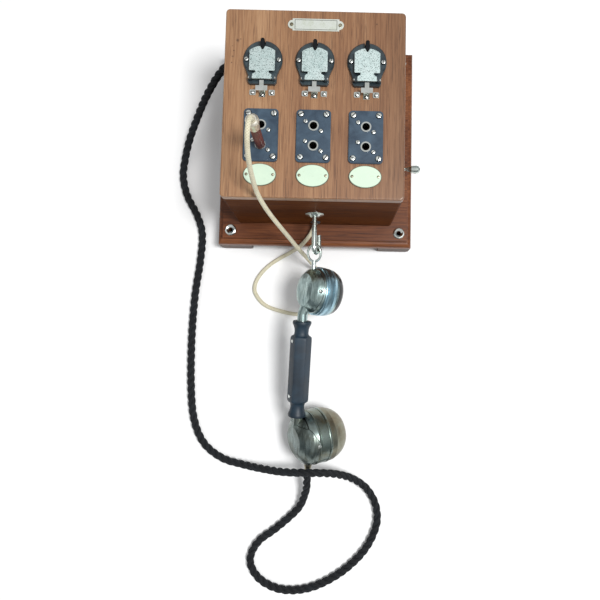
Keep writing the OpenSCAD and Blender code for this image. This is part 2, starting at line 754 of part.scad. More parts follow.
module hook_rod() {
    // the bent end is a hair thinner than the rod, which it starts inside
    bent_r = rod_r - 0.06;
    color("#c3c9c8") {
        at_rod() translate([0, 0, case_bottom - rod_top])
            cylinder(r = rod_r, h = hook_drop + rod_top - case_bottom);
        // collar that bears on the return spring
        at_rod() translate([0, 0, case_bottom - rod_top]) cylinder(r = rod_r + 2, h = 2);
        sweep(concat([hook_point(0, 4)], [for (a = [0:15:180]) hook_point(a)],
            [hook_point(180, tip_l / 2), hook_point(180, tip_l)]), bent_r, 16);
    }
}

// Return spring on the rod between the guide and the collar, one unbroken wire
function spring_point(a, len) = let (r = spring_r) [r * cos(a), r * sin(a), len * a / (360 * spring_turns)];

module hook_spring() {
    len = rod_top - case_bottom - guide_l - 2 - 2 * spring_wire - 0.6;
    color("#9a9a94") at_rod() translate([0, 0, -guide_l - spring_wire - 0.3])
        mirror([0, 0, 1])
        sweep([for (a = [0:45:360 * spring_turns]) spring_point(a, len)], spring_wire, 6);
}

// Contact springs beside the rod, on an insulating block under the side of the case
module hook_contacts() {
    color("#b98e4a") translate([hook_x, 0, rod_z]) {
        translate([9, case_bottom + wall_t, -7]) cube([7, 26, 14]);
        for (z = [-4, 2]) translate([5.5, case_bottom + wall_t + 12, z]) cube([4, 22, 0.8]);
    }
}

// ---- Side lever ----

module side_lever() {
    color("#c6c9c6") translate([lever_pivot_x, -lever_y, lever_z]) {
        difference() {
            union() {
                rotate([0, 90, 0]) cylinder(r = lever_r, h = case_w / 2 - lever_pivot_x + 4);
                cylinder(r = 4, h = 8, center = true);
            }
            cylinder(r = 1.5 + pin_gap, h = 10, center = true);
        }
        translate([case_w / 2 - lever_pivot_x + 3, 0, 0]) rotate([0, 90, 0]) rotate_extrude() polygon([
            [0, 0], [1.3, 0], [1.6, 2.5], [2.4, 5.5], [3.6, 8.5], [knob_r - 0.15, knob_l - 8],
            [knob_r, knob_l - 6.6], [knob_r - 0.5, knob_l - 4.9], [knob_r - 1.6, knob_l - 3.5],
            [knob_r - 3, knob_l - 3], [0, knob_l - 3]
        ]);
    }
}

// Bracket with the lever's pivot pin, screwed to the inside of the case
module lever_bush() {
    color("#b98e4a") translate([lever_pivot_x, -lever_y, lever_z]) {
        cylinder(r = 1.5, h = 13, center = true);
        for (s = [-1, 1]) translate([-4, -5, s * 5.5 - 1]) cube([inner_w / 2 - lever_pivot_x + 4, 10, 2]);
    }
}

module side_screw() {
    color("#c7a552") translate([case_w / 2, -16, face_z - 47]) rotate([0, 90, 0]) {
        cylinder(r = 5, h = 1);
        translate([0, 0, 1]) screw(3.6, 3, slot = 70);
    }
}

// ---- Plug ----

module at_plug(z) {
    translate([plug_x, plug_y, z]) children();
}

module plug_pin() {
    color("#c7a552") at_plug(0) {
        translate([0, 0, sleeve_z - 11]) cylinder(r = plug_pin_r, h = 11);
        translate([0, 0, sleeve_z - 22]) cylinder(r = 2.2, h = 11 + e);
        translate([0, 0, sleeve_z - 24]) sphere(2.6);
    }
}

module plug_sleeve() {
    color("#6e3328") at_plug(sleeve_z) rotate_extrude() polygon([
        [0, 0], [sleeve_r - 0.3, 0], [sleeve_r, 0.8], [sleeve_r, sleeve_l], [0, sleeve_l]
    ]);
}

module plug_cap() {
    color("#8d8a80") at_plug(collar_z) difference() {
        rotate_extrude() polygon([
            [0, 0], [sleeve_r + 0.4, 0], [sleeve_r + 0.4, 7.5], [cap_r - 0.6, 9], [cap_r, 11],
            [cap_r, cap_l - 2.5], [cap_r - 1, cap_l - 0.7], [cap_r - 2, cap_l], [0, cap_l]
        ]);
        translate([0, 0, cap_l - 3]) cylinder(r = cream_d / 2 + 0.3, h = 4);
    }
}

// ---- Cords ----

function unit(v) = v / norm(v);

// Points of a smooth curve through the points p, with a given number of steps in each span
function through(p, steps) = [
    for (i = [0:len(p) - 2], k = [0:steps - 1])
        let (t = k / steps, a = p[max(i - 1, 0)], b = p[i], c = p[i + 1], d = p[min(i + 2, len(p) - 1)])
        0.5 * (2 * b + t * (c - a) + t * t * (2 * a - 5 * b + 4 * c - d)
            + t * t * t * (3 * b - a - 3 * c + d)),
    p[len(p) - 1]
];

function tangent(p, i) = unit(p[min(i + 1, len(p) - 1)] - p[max(i - 1, 0)]);

// A side direction carried along the route without twist
function sides(p, i = 0, s = [0, 0, 1], out = []) =
    i == len(p) ? out :
    let (t = tangent(p, i), flat = s - (s * t) * t,
         n = norm(flat) > 0.05 ? unit(flat) : unit(cross(t, [1, 0.3, 0.2])))
    sides(p, i + 1, n, concat(out, [n]));

// A closed round tube along the points p
module sweep(p, r, n) {
    side = sides(p);
    rings = [for (i = [0:len(p) - 1]) let (t = tangent(p, i), u = side[i], v = cross(t, u))
        for (k = [0:n - 1]) p[i] + r * (cos(360 * k / n) * u + sin(360 * k / n) * v)];
    last = len(p) - 1;
    faces = concat(
        [for (i = [0:last - 1], k = [0:n - 1]) let (a = i * n + k, b = i * n + (k + 1) % n) each
            [[a, a + n, b], [b, a + n, b + n]]],
        [for (k = [1:n - 2]) [0, k, k + 1]],
        [for (k = [1:n - 2]) [last * n, last * n + k + 1, last * n + k]]
    );
    polyhedron(rings, faces);
}

module black_cord() {
    color("#14161a") sweep(through(black_route, 2), black_d / 2, 10);
}

module cream_cord() {
    color("#cfc8a8") sweep(through(cream_route, 2), cream_d / 2, 8);
}

// ---- Handset ----

// An oval ring of wire whose ends meet in the shank
module hanging_ring() {
    color("#9aa19f") {
        in_handset() translate([ring_at[0], ring_at[1], 0]) rotate([0, ring_roll, 0])
            sweep([for (a = [-82:12:262]) [ring_r * cos(a), ring_l * sin(a), 0]], wire_r, 12);
        difference() {
            in_handset() translate([ring_at[0], ring_at[1] - ring_l + 1.2, 0]) rotate([90, 0, 0])
                cylinder(r = shank_r, h = 12);
            at_receiver() receiver_shape(yoke_plate + 0.05);
        }
    }
}

// Outer shape of the receiver: its domed back, its flange and its case
module receiver_shape(grow = 0) {
    back = -16 - grow;
    front = receiver_d - 16;
    rotate_extrude($fn = 72) polygon([
        [0, back], [11 + grow, back], [17 + grow, -14.2 - grow], [22.4 + grow, -10.2],
        [25 + grow, -5], [25.9 + grow, -1], [receiver_r - 0.3 + grow, -0.8], [receiver_r - 0.3 + grow, 0.8],
        [receiver_r - 0.9 + grow, 1.2], [receiver_r + grow, 1.8], [receiver_r - 0.4 + grow, 9.3],
        [receiver_r - 0.1 + grow, 9.7], [receiver_r - 0.6 + grow, 10.1], [receiver_r - 0.8 + grow, front],
        [0, front]
    ]);
}

// Hollow of the receiver, open towards the ear cap
module receiver_hollow() {
    rotate_extrude($fn = 72) polygon([
        [0, -13], [10, -13], [15, -11.6], [19.5, -8], [22, -4], [23, 0],
        [23, receiver_d - 15], [0, receiver_d - 15]
    ]);
}

// Domed shell, flange, the yoke over its back and the neck that meets the grip
module receiver_body() {
    color("#aeb6b4") {
        difference() {
            union() {
                at_receiver() receiver_shape();
                intersection() {
                    at_receiver() receiver_shape(yoke_plate);
                    in_handset() linear_extrude(80, center = true) polygon([
                        [-8, 64], [5, 65.6], [6.9, 66.8], [7.6, 75.4], [10.6, 85], [12.4, 93.4],
                        [12.6, 101.7], [10.8, 111.1], [8, 118], [-8, 118]
                    ]);
                }
                in_handset() {
                    translate([0, grip_l / 2 + 0.3, 0]) rotate([-90, 0, 0]) cylinder(r = neck_r, h = 8);
                    hull() {
                        translate([0.2, grip_l / 2 + 8, 0]) sphere(neck_r, $fn = 24);
                        translate([5, flange_at[1] - 14, 0]) scale([0.8, 1, 1.1]) sphere(8, $fn = 24);
                    }
                }
            }
            at_receiver() receiver_hollow();
            in_handset() at_yoke_screws(cup_screw_at) cylinder(r = screw_seat_r, h = 4);
        }
    }
}

module ear_cap() {
    color("#1c1e22") at_receiver() translate([0, 0, receiver_d - 16]) rotate_extrude($fn = 72) polygon([
        [4, ear_cap_d - 5.4], [10, ear_cap_d - 5], [16, ear_cap_d - 2.6], [19.5, ear_cap_d],
        [21.8, ear_cap_d - 1.5], [24, ear_cap_d - 4], [25.6, ear_cap_d - 7.5], [receiver_r - 1, 0.1],
        [22.8, 0.1], [22.8, -3], [20, -3], [20, 0.6], [4, ear_cap_d - 8]
    ]);
}

// Corner radius of the grip along its length, as [distance from the middle, radius]
grip_profile = [
    [0, 1], [0.03, 1.02], [0.035, 0.93], [0.1, 0.7], [0.155, 0.7], [0.168, 0.96],
    [0.185, 1], [0.815, 1], [0.832, 0.96], [0.845, 0.7], [0.9, 0.7], [0.965, 0.86], [0.97, 0.92], [1, 0.9]
];

module grip() {
    rings = [for (g = grip_profile) for (k = [0:5])
        let (a = 30 + 60 * k, r = grip_r * (g[0] < 0.1 || g[0] > 0.9 ? 0.8 * g[1] : g[1]))
        [r * cos(a), grip_l * (0.5 - g[0]), r * sin(a)]];
    last = len(grip_profile) - 1;
    color("#252c38") in_handset() difference() {
        polyhedron(rings, concat(
            [[for (k = [0:5]) k]],
            [for (i = [0:last - 1], k = [0:5]) let (a = 6 * i + k, b = 6 * i + (k + 1) % 6) each
                [[a, a + 6, b], [b, a + 6, b + 6]]],
            [[for (k = [5:-1:0]) 6 * last + k]]
        ));
        rotate([90, 0, 0]) cylinder(r = tube_r + 0.05, h = grip_l + 2, center = true);
    }
}

// Screws of the grip's cheek, and the screws that the two yokes turn on
module grip_screws() {
    color("#c3c6c2") in_handset() {
        for (y = [0.295, -0.28]) translate([0, y * grip_l, 0]) rotate([0, -90, 0])
            translate([0, 0, grip_r * cos(30)]) screw(2, 0.8, slot = 100 * y);
        for (at = [cup_screw_at, pivot_screw_at]) at_yoke_screws(at) screw(2.1, 1.3, slot = 25);
    }
}

// The seats of a yoke's two screws, z pointing out of the yoke
module at_yoke_screws(at) {
    for (s = [-1, 1]) translate([at[0], at[1], s * at[2]]) rotate([90 - 90 * s, 0, 0]) children();
}

// The brass tube through the grip
module handset_tube() {
    color("#c2cccb") in_handset() translate([0, grip_l / 2 + 0.2, 0]) rotate([90, 0, 0])
        tube(tube_r, tube_r - 1.2, grip_l + 0.4);
}

// Outer shape of the transmitter's back
module transmitter_shape(grow = 0) {
    back = -transmitter_d - grow;
    r = transmitter_r + grow;
    rotate_extrude($fn = 72) polygon([
        [0, back], [15 + grow, back], [16.6 + grow, back + 1], [22 + grow, back + 4], [27 + grow, back + 8],
        [29.5 + grow, back + 12], [r - 1.2, -16], [r - 0.7, -13.8], [r - 0.2, -13.4], [r - 0.2, -12.6],
        [r - 0.6, -12.2], [r - 0.3, -0.6], [0, -0.6]
    ]);
}

// Dished shell of the transmitter, the yoke over its back and the stump that meets the grip
module transmitter_body() {
    color("#9c9478") difference() {
        union() {
            difference() {
                at_transmitter() transmitter_shape();
                // the shell is notched clear of the end of the grip
                in_handset() translate([0, -grip_l / 2 - 0.6, 0]) rotate([-90, 0, 0])
                    cylinder(r = grip_end_r + 0.8, h = 12);
            }
            intersection() {
                at_transmitter() transmitter_shape(yoke_plate);
                in_handset() linear_extrude(80, center = true) polygon([
                    [-8, -64.5], [5.5, -64.5], [7.6, -66.2], [12, -72.6], [17.7, -80], [17.4, -82.8],
                    [15.8, -84.6], [13.8, -91.2], [13.4, -98], [15, -106], [12, -112], [-8, -112]
                ]);
            }
            in_handset() {
                translate([stump_x, -grip_l / 2 - 0.3, 0]) rotate([90, 0, 0]) cylinder(r = tube_r, h = 10);
                hull() {
                    translate([stump_x, -grip_l / 2 - 10, 0]) rotate([90, 0, 0])
                        cylinder(r = tube_r, h = 1, $fn = 32);
                    translate([4, -grip_l / 2 - 19, 0]) scale([0.7, 1, 1.5]) sphere(6, $fn = 24);
                }
            }
        }
        at_transmitter() rotate_extrude($fn = 72) polygon([
            [0, -transmitter_d + 3], [13, -transmitter_d + 3], [18, -transmitter_d + 4.8],
            [23, -transmitter_d + 8.4], [26.6, -transmitter_d + 13.5], [28.2, -14], [28.6, 1], [0, 1]
        ]);
        in_handset() at_yoke_screws(pivot_screw_at) cylinder(r = screw_seat_r, h = 4);
    }
}

// Bulging front of the transmitter with its speaking holes
module transmitter_cap() {
    color("#a69a7c") at_transmitter() difference() {
        rotate_extrude($fn = 72) polygon([
            [0, dome_d], [5, dome_d - 0.2], [9, dome_d - 0.8], [13, dome_d - 1.6], [17, dome_d - 2.8],
            [20, dome_d - 4.3], [22.5, dome_d - 6.3], [24.6, dome_d - 8.5], [26.3, dome_d - 10.8],
            [28, dome_d - 13.8], [29.3, dome_d - 16.8], [31, 8], [transmitter_r, 2], [transmitter_r, 0.6],
            [transmitter_r - 0.5, -0.1], [transmitter_r - 2.8, -0.1], [transmitter_r - 2.8, 3], [28.2, 8],
            [26.6, dome_d - 17.2], [22.6, dome_d - 11.2], [17.8, dome_d - 6], [12, dome_d - 4],
            [0, dome_d - 2.6]
        ]);
        for (k = [0:6]) rotate([0, 0, 60 * k]) translate([k < 6 ? 9 : 0, 0, dome_d - 8])
            cylinder(r = 1.6, h = 10);
    }
}

module cord_tail() {
    color("#8c8a70") in_handset() translate([tail_at[0], tail_at[1], 0]) rotate([90, 0, 0]) difference() {
        cylinder(r1 = tail_r + 1.4, r2 = tail_r, h = tail_l);
        translate([0, 0, tail_l - 4]) cylinder(r = tail_r - 1.2, h = 5);
    }
}

// ---- Inside ----

// Connecting strip for the lines, on the backboard
module terminal_strip() {
    color("#3a2a20") translate([0, inner_h / 2 - 30, field_z]) {
        translate([-inner_w / 2 + 26, -9, 0]) cube([inner_w - 52, 18, 8]);
    }
    color("#c7a552") translate([0, inner_h / 2 - 30, field_z + 8]) for (k = [-3:3])
        translate([k * 15, 0, -e]) screw(3, 4, slot = 25 * k);
}

module induction_coil() {
    color("#4c3a24") translate([-inner_w / 2 + 22, -20, field_z]) {
        for (y = [-30, 27]) translate([-11, y, 0]) cube([22, 3, 24]);
        translate([0, -30 + e, 12]) rotate([-90, 0, 0]) cylinder(r = 8.5, h = 60 - 2 * e);
    }
}

wall_battens();
backboard();
wall_eyelets();
case_screws();
case_frame();
front_panel();
nameplate();
name_screws();
drop_base(1);  // drop_base_1
drop_base(2);  // drop_base_2
drop_base(3);  // drop_base_3
shutter(1);  // shutter_1
shutter(2);  // shutter_2
shutter(3);  // shutter_3
shutter_pins();
drop_screws();
bell_contacts();
contact_screws();
latch(1);  // latch_1
latch(2);  // latch_2
latch(3);  // latch_3
drop_yokes();
drop_coil(1);  // drop_coil_1
drop_coil(2);  // drop_coil_2
drop_coil(3);  // drop_coil_3
jack_plate(1);  // jack_plate_1
jack_plate(2);  // jack_plate_2
jack_plate(3);  // jack_plate_3
plate_screws();
jack_screws();
jack_bushes();
jack_springs();
label(1);  // label_1
label(2);  // label_2
label(3);  // label_3
hook_rosette();
hook_guide();
hook_rod();
hook_spring();
hook_contacts();
side_lever();
lever_bush();
side_screw();
cord_glands();
plug_pin();
plug_sleeve();
plug_cap();
black_cord();
cream_cord();
hanging_ring();
receiver_body();
ear_cap();
grip();
grip_screws();
handset_tube();
transmitter_body();
transmitter_cap();
cord_tail();
terminal_strip();
induction_coil();
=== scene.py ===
import bpy
import bmesh
import math
from mathutils import Matrix, Vector
from mathutils.kdtree import KDTree


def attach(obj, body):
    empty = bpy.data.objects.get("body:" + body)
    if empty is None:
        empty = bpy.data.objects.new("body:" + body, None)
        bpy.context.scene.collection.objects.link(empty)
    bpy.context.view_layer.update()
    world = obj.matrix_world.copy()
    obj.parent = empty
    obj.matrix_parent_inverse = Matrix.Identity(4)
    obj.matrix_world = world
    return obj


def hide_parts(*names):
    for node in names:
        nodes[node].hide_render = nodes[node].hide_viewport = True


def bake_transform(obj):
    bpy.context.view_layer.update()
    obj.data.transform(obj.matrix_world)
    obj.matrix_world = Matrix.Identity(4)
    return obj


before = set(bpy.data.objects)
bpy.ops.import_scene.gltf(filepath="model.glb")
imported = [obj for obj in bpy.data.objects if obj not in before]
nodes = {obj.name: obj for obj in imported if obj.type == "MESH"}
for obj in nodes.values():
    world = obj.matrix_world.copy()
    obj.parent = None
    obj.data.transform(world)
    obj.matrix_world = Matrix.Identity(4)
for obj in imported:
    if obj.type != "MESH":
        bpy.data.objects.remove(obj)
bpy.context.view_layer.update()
print("frame loaded,", len(nodes), "nodes")


def tone(hexText):
    # sRGB hex to a linear colour with alpha
    parts = [int(hexText[k:k + 2], 16) / 255 for k in (1, 3, 5)]
    return [p / 12.92 if p <= 0.04045 else ((p + 0.055) / 1.055) ** 2.4 for p in parts] + [1.0]


def addNode(tree, kind, inputs=None, **settings):
    node = tree.nodes.new("ShaderNode" + kind)
    for key, value in settings.items():
        setattr(node, key, value)
    for key, value in (inputs or {}).items():
        if isinstance(value, bpy.types.NodeSocket):
            tree.links.new(value, node.inputs[key])
        else:
            node.inputs[key].default_value = value
    return node


def startMaterial(name, **shaderValues):
    material = bpy.data.materials.new(name)
    material.use_nodes = True
    tree = material.node_tree
    shader = tree.nodes["Principled BSDF"]
    for key, value in shaderValues.items():
        shader.inputs[key.replace("_", " ")].default_value = value
    place = addNode(tree, "TexCoord").outputs["Object"]
    return material, tree, shader, place


def stretched(tree, place, scale, turn=(0, 0, 0), shift=(0, 0, 0)):
    return addNode(tree, "Mapping", {"Vector": place, "Scale": scale, "Rotation": turn,
                                     "Location": shift}).outputs["Vector"]


def cloud(tree, place, scale, detail=4, rough=0.55, bend=0.0):
    return addNode(tree, "TexNoise", {"Vector": place, "Scale": scale, "Detail": detail,
                                      "Roughness": rough, "Distortion": bend}).outputs["Fac"]


def ramp(tree, factor, stops):
    node = addNode(tree, "ValToRGB", {"Fac": factor})
    steps = node.color_ramp.elements
    steps.remove(steps[1])
    steps[0].position, steps[0].color = stops[0]
    for at, colour in stops[1:]:
        steps.new(at).color = colour
    return node.outputs["Color"]


def grey(value):
    return (value, value, value, 1)


def mixed(tree, factor, first, second, way="MIX"):
    return addNode(tree, "Mix", {0: factor, 6: first, 7: second}, data_type="RGBA",
                   blend_type=way).outputs[2]


def sums(tree, way, first, second=0.0, third=0.0):
    return addNode(tree, "Math", {0: first, 1: second, 2: third}, operation=way).outputs[0]


def bumped(tree, shader, height, strength, depth, after=None):
    node = addNode(tree, "Bump", {"Height": height, "Strength": strength, "Distance": depth})
    if after is not None:
        tree.links.new(after, node.inputs["Normal"])
    tree.links.new(node.outputs["Normal"], shader.inputs["Normal"])
    return node.outputs["Normal"]


def dress(names, material):
    for name in names:
        slots = nodes[name].data.materials
        slots.clear()
        slots.append(material)


cameraSetup = {"lens": 33.6, "shift": -35 / 600, "place": (0.020559, -0.242965, 0.702998),
               "turn": (0.0813522, -0.0097959, 0.020195)}
cameraData = bpy.data.cameras.new("camera")
cameraData.sensor_width = 36
cameraData.lens = cameraSetup["lens"]
cameraData.shift_x = cameraSetup["shift"]
cameraData.clip_start = 0.02
camera = bpy.data.objects.new("camera", cameraData)
camera.location = cameraSetup["place"]
camera.rotation_euler = cameraSetup["turn"]
bpy.context.scene.collection.objects.link(camera)
bpy.context.scene.camera = camera
bpy.context.scene.view_settings.view_transform = "Standard"
print("camera placed")


def smoothRoute(points, steps):
    # the same curve as the part's source lays through its points
    route = []
    last = len(points) - 1
    for i in range(last):
        a, b, c, d = (Vector(points[k]) for k in (max(i - 1, 0), i, i + 1, min(i + 2, last)))
        for k in range(steps):
            t = k / steps
            route.append(0.5 * (2 * b + t * (c - a) + t * t * (2 * a - 5 * b + 4 * c - d)
                                + t ** 3 * (3 * b - a - 3 * c + d)))
    route.append(Vector(points[last]))
    return [p / 1000 for p in route]


def evenRoute(route, step):
    # points at even distances along the route
    total = sum((b - a).length for a, b in zip(route, route[1:]))
    count = max(2, round(total / step))
    step = total / count
    even, walked, wanted = [route[0].copy()], 0.0, step
    for a, b in zip(route, route[1:]):
        length = (b - a).length
        while wanted <= walked + length + 1e-9 and len(even) < count:
            even.append(a.lerp(b, (wanted - walked) / length))
            wanted += step
        walked += length
    even.append(route[-1].copy())
    return even, total


def carriedFrames(route):
    # a side and an up direction at each point, carried along without twist
    side = Vector((0, 0, 1))
    frames = []
    last = len(route) - 1
    for i in range(len(route)):
        along = (route[min(i + 1, last)] - route[max(i - 1, 0)]).normalized()
        side = (side - side.dot(along) * along)
        side = side.normalized() if side.length > 0.05 else along.orthogonal().normalized()
        frames.append((side.copy(), along.cross(side)))
    return frames


def strandMesh(name, strands, radius, sides):
    # strands become round tubes in one mesh
    data = bpy.data.curves.new(name, "CURVE")
    data.dimensions = "3D"
    data.bevel_depth = radius
    data.bevel_resolution = sides // 2 - 2
    data.use_fill_caps = True
    for points in strands:
        spline = data.splines.new("POLY")
        spline.points.add(len(points) - 1)
        for k, p in enumerate(points):
            spline.points[k].co = (*p, 1)
    curve = bpy.data.objects.new(name + "Curve", data)
    bpy.context.scene.collection.objects.link(curve)
    graph = bpy.context.evaluated_depsgraph_get()
    mesh = bpy.data.meshes.new_from_object(curve.evaluated_get(graph))
    bpy.data.objects.remove(curve)
    mesh.name = name
    return mesh


def markStrands(mesh, strands):
    # each vertex learns how far along its strand it lies and its turn around it
    along = mesh.attributes.new("strandAlong", "FLOAT", "POINT")
    around = mesh.attributes.new("strandAround", "FLOAT", "POINT")
    tree = KDTree(sum(len(s) for s in strands))
    facts = []
    for points in strands:
        frames = carriedFrames(points)
        walked = 0.0
        for k, p in enumerate(points):
            walked += (p - points[k - 1]).length if k else 0
            tree.insert(p, len(facts))
            facts.append((walked, p, frames[k]))
    tree.balance()
    for vertex in mesh.vertices:
        walked, p, (side, up) = facts[tree.find(vertex.co)[1]]
        away = vertex.co - p
        along.data[vertex.index].value = walked
        around.data[vertex.index].value = math.atan2(away.dot(up), away.dot(side)) / math.tau


def showMesh(name, mesh, material, sharpAngle=None):
    mesh.name = name
    mesh.materials.clear()
    mesh.materials.append(material)
    mesh.polygons.foreach_set("use_smooth", [True] * len(mesh.polygons))
    if sharpAngle is not None:
        mesh.set_sharp_from_angle(angle=math.radians(sharpAngle))
    piece = bpy.data.objects.new(name, mesh)
    bpy.context.scene.collection.objects.link(piece)
    return piece


blackCordSetup = {
    "diameter": 9.5, "strandRadius": 2.3, "lay": 27.0, "step": 1.6,  # millimetres
    "thread": "#0c0f14", "deep": "#05070a", "dust": "#1d242b", "sheenTone": "#5a6470",
    "bendsFrom": (-0.085, 0, 0), "bendsTo": (-0.040, 0, 0),
    "route": [
        (-90, 80, 80), (-104, 78, 78.5), (-119, 67, 67), (-135, 51, 49), (-149, 33, 30),
        (-161, 12, 14.5), (-168, -13, 6.2), (-169.3, -34, 4.9), (-163, -58, 4.9), (-150, -82, 4.9),
        (-142.5, -106, 4.9), (-143.5, -140, 4.9), (-148.5, -185, 4.9), (-150.4, -240, 4.9),
        (-148.5, -300, 4.9), (-143, -338, 4.9), (-130, -365, 4.9), (-107, -382, 6),
        (-78, -388.5, 12), (-51, -391, 23.5), (-29, -391, 35), (-6.8, -389.8, 42.5),
        (14, -390.5, 39), (34, -394.3, 27.5), (53, -402.5, 14), (70, -416, 6), (81, -436, 4.9),
        (81.5, -460, 4.9), (67, -489, 4.9), (39, -515, 4.9), (4, -532.5, 4.9), (-30, -535.5, 4.9),
        (-57, -524, 4.9), (-69.5, -503, 4.9), (-61, -481, 4.9), (-38, -463, 4.9),
        (-13.5, -440, 6.5), (-4.4, -417, 18.5), (-2.79, -402.6, 27.94), (-2.08, -389.12, 31.39)],
}


def twistedCotton(setup):
    # cotton braided over each strand: matt, with a faint grey bloom at the edges
    material, tree, shader, place = startMaterial("twistedBlackCotton", Roughness=0.85)
    along = addNode(tree, "Attribute", attribute_name="strandAlong").outputs["Fac"]
    around = addNode(tree, "Attribute", attribute_name="strandAround").outputs["Fac"]
    # fine threads that run slantwise round each strand
    slant = sums(tree, "ADD", sums(tree, "MULTIPLY", along, 420.0), sums(tree, "MULTIPLY", around, 7.0))
    thread = sums(tree, "PINGPONG", slant, 1.0)
    fuzz = cloud(tree, place, 1400, 3)
    dust = cloud(tree, place, 60, 5, 0.7)
    base = mixed(tree, thread, tone(setup["deep"]), tone(setup["thread"]))
    dusty = ramp(tree, dust, [(0.45, grey(0)), (0.75, grey(0.5))])
    base = mixed(tree, dusty, base, tone(setup["dust"]))
    tree.links.new(base, shader.inputs["Base Color"])
    shader.inputs["Sheen Weight"].default_value = 0.25
    shader.inputs["Sheen Roughness"].default_value = 0.4
    shader.inputs["Sheen Tint"].default_value = tone(setup["sheenTone"])
    first = bumped(tree, shader, thread, 0.6, 0.0003)
    bumped(tree, shader, fuzz, 0.35, 0.0004, first)
    return material


def makeBlackCord(setup):
    route, length = evenRoute(smoothRoute(setup["route"], 16), setup["step"] / 1000)
    frames = carriedFrames(route)
    offset = setup["diameter"] / 2000 - setup["strandRadius"] / 1000
    strands = []
    for k in range(3):
        strand = []
        for i, p in enumerate(route):
            turn = math.tau * (k / 3 + i * length * 1000 / (len(route) - 1) / setup["lay"])
            side, up = frames[i]
            strand.append(p + offset * (math.cos(turn) * side + math.sin(turn) * up))
        strands.append(strand)
    mesh = strandMesh("blackCordTwist", strands, setup["strandRadius"] / 1000, 10)
    markStrands(mesh, strands)
    piece = showMesh("blackCordTwist", mesh, twistedCotton(setup))
    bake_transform(piece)
    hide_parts("black_cord")
    print("black cord, length", round(length, 3))
    return piece


makeBlackCord(blackCordSetup)


creamCordSetup = {
    "diameter": 4.8, "step": 1.0,  # millimetres
    "thread": "#d8d2b8", "groove": "#a59d80", "stain": "#b0a586",
    "bendsFrom": (0, 0, 0.150), "bendsTo": (0, 0, 0.215),
    "route": [
        (-52.5, -44.9, 219.9), (-52.5, -45.1, 226.5), (-53, -48.2, 231), (-53.6, -54.5, 234.2),
        (-54.3, -62, 232.4), (-55, -69, 226), (-55.4, -76, 216), (-55.4, -82.5, 203.5),
        (-54.6, -89.5, 187.5), (-52.6, -97, 170), (-48, -104.5, 153.5), (-41.5, -112, 136),
        (-34.3, -118.5, 116), (-27.2, -124.5, 95), (-20.7, -130, 74), (-14.6, -134.5, 54),
        (-8.7, -138.5, 36), (-2.5, -143.5, 20.5), (4.5, -150, 9.6), (11, -158, 4.2), (14.5, -168, 2.6),
        (14.5, -180, 2.6), (9, -192, 2.6), (-2, -200.7, 2.6), (-17, -204.6, 2.6), (-38, -202, 2.6),
        (-61, -194, 2.6), (-73.5, -179.5, 2.6), (-74, -167, 2.6), (-67.5, -154.5, 2.6),
        (-56.5, -143, 2.6), (-44, -134.5, 3.8), (-34, -130, 10), (-26, -127.2, 20.5),
        (-18.5, -124.4, 31.5), (-11.7, -119.5, 40), (-5.2, -112.2, 46), (-0.6, -103.95, 49.8),
        (0.8, -99.25, 50.8), (1, -94, 51)],
}


def braidedCotton(setup):
    # glazed cotton braid: pale and matt, soiled in patches
    material, tree, shader, place = startMaterial("braidedCreamCotton", Roughness=0.8)
    along = addNode(tree, "Attribute", attribute_name="strandAlong").outputs["Fac"]
    around = addNode(tree, "Attribute", attribute_name="strandAround").outputs["Fac"]
    # two slants cross each other as the threads of a braid do
    climb = sums(tree, "MULTIPLY", along, 900.0)
    turn = sums(tree, "MULTIPLY", around, 10.0)
    left = sums(tree, "PINGPONG", sums(tree, "ADD", climb, turn), 1.0)
    right = sums(tree, "PINGPONG", sums(tree, "SUBTRACT", climb, turn), 1.0)
    weave = sums(tree, "MAXIMUM", left, right)
    dirt = cloud(tree, place, 90, 6, 0.7)
    base = mixed(tree, ramp(tree, weave, [(0.1, grey(0)), (0.6, grey(1))]), tone(setup["groove"]),
                 tone(setup["thread"]))
    dirtAndShade = ramp(tree, dirt, [(0.48, grey(0)), (0.8, grey(0.75))])
    base = mixed(tree, dirtAndShade, base, tone(setup["stain"]))
    tree.links.new(base, shader.inputs["Base Color"])
    shader.inputs["Sheen Weight"].default_value = 0.15
    first = bumped(tree, shader, weave, 0.5, 0.0002)
    bumped(tree, shader, cloud(tree, place, 2200, 2), 0.3, 0.0002, first)
    return material


def makeCreamCord(setup):
    route, length = evenRoute(smoothRoute(setup["route"], 12), setup["step"] / 1000)
    mesh = strandMesh("creamCordBraid", [route], setup["diameter"] / 2000, 12)
    markStrands(mesh, [route])
    piece = showMesh("creamCordBraid", mesh, braidedCotton(setup))
    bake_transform(piece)
    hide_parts("cream_cord")
    print("cream cord, length", round(length, 3))
    return piece


makeCreamCord(creamCordSetup)


# varnished walnut: a satin sheen over straight grain; the streak and pore scales are drawn coarser
# than the real grain, so that they show at this size
panelWood = {"dark": "#7f583c", "middle": "#9a7250", "light": "#b08a66", "pore": "#5c3e2a", "pores": 0.6,
             "grain": (1.0, 0.03, 1.0), "streak": 620, "broad": 26, "coat": 0.3, "coatRoughness": 0.3,
             "ior": 1.45, "knock": "#2c1a12", "crack": "#3d2417",
             # knocks and small knots as (x, y, size) in metres
             "knocks": [(-0.079, 0.064, 0.0022), (-0.0825, 0.053, 0.0012), (-0.0835, 0.047, 0.0014),
                        (-0.076, 0.0655, 0.001), (-0.0845, 0.0405, 0.001), (0.062, 0.0845, 0.0011),
                        (-0.084, 0.058, 0.0009)],
             # drying cracks as (x, sway), up to a level from the lower edge
             "cracks": [(-0.0262, 0.0004), (0.0243, 0.0006)], "crackWidth": 0.00056, "crackTop": -0.078,
             "face": 0.157}
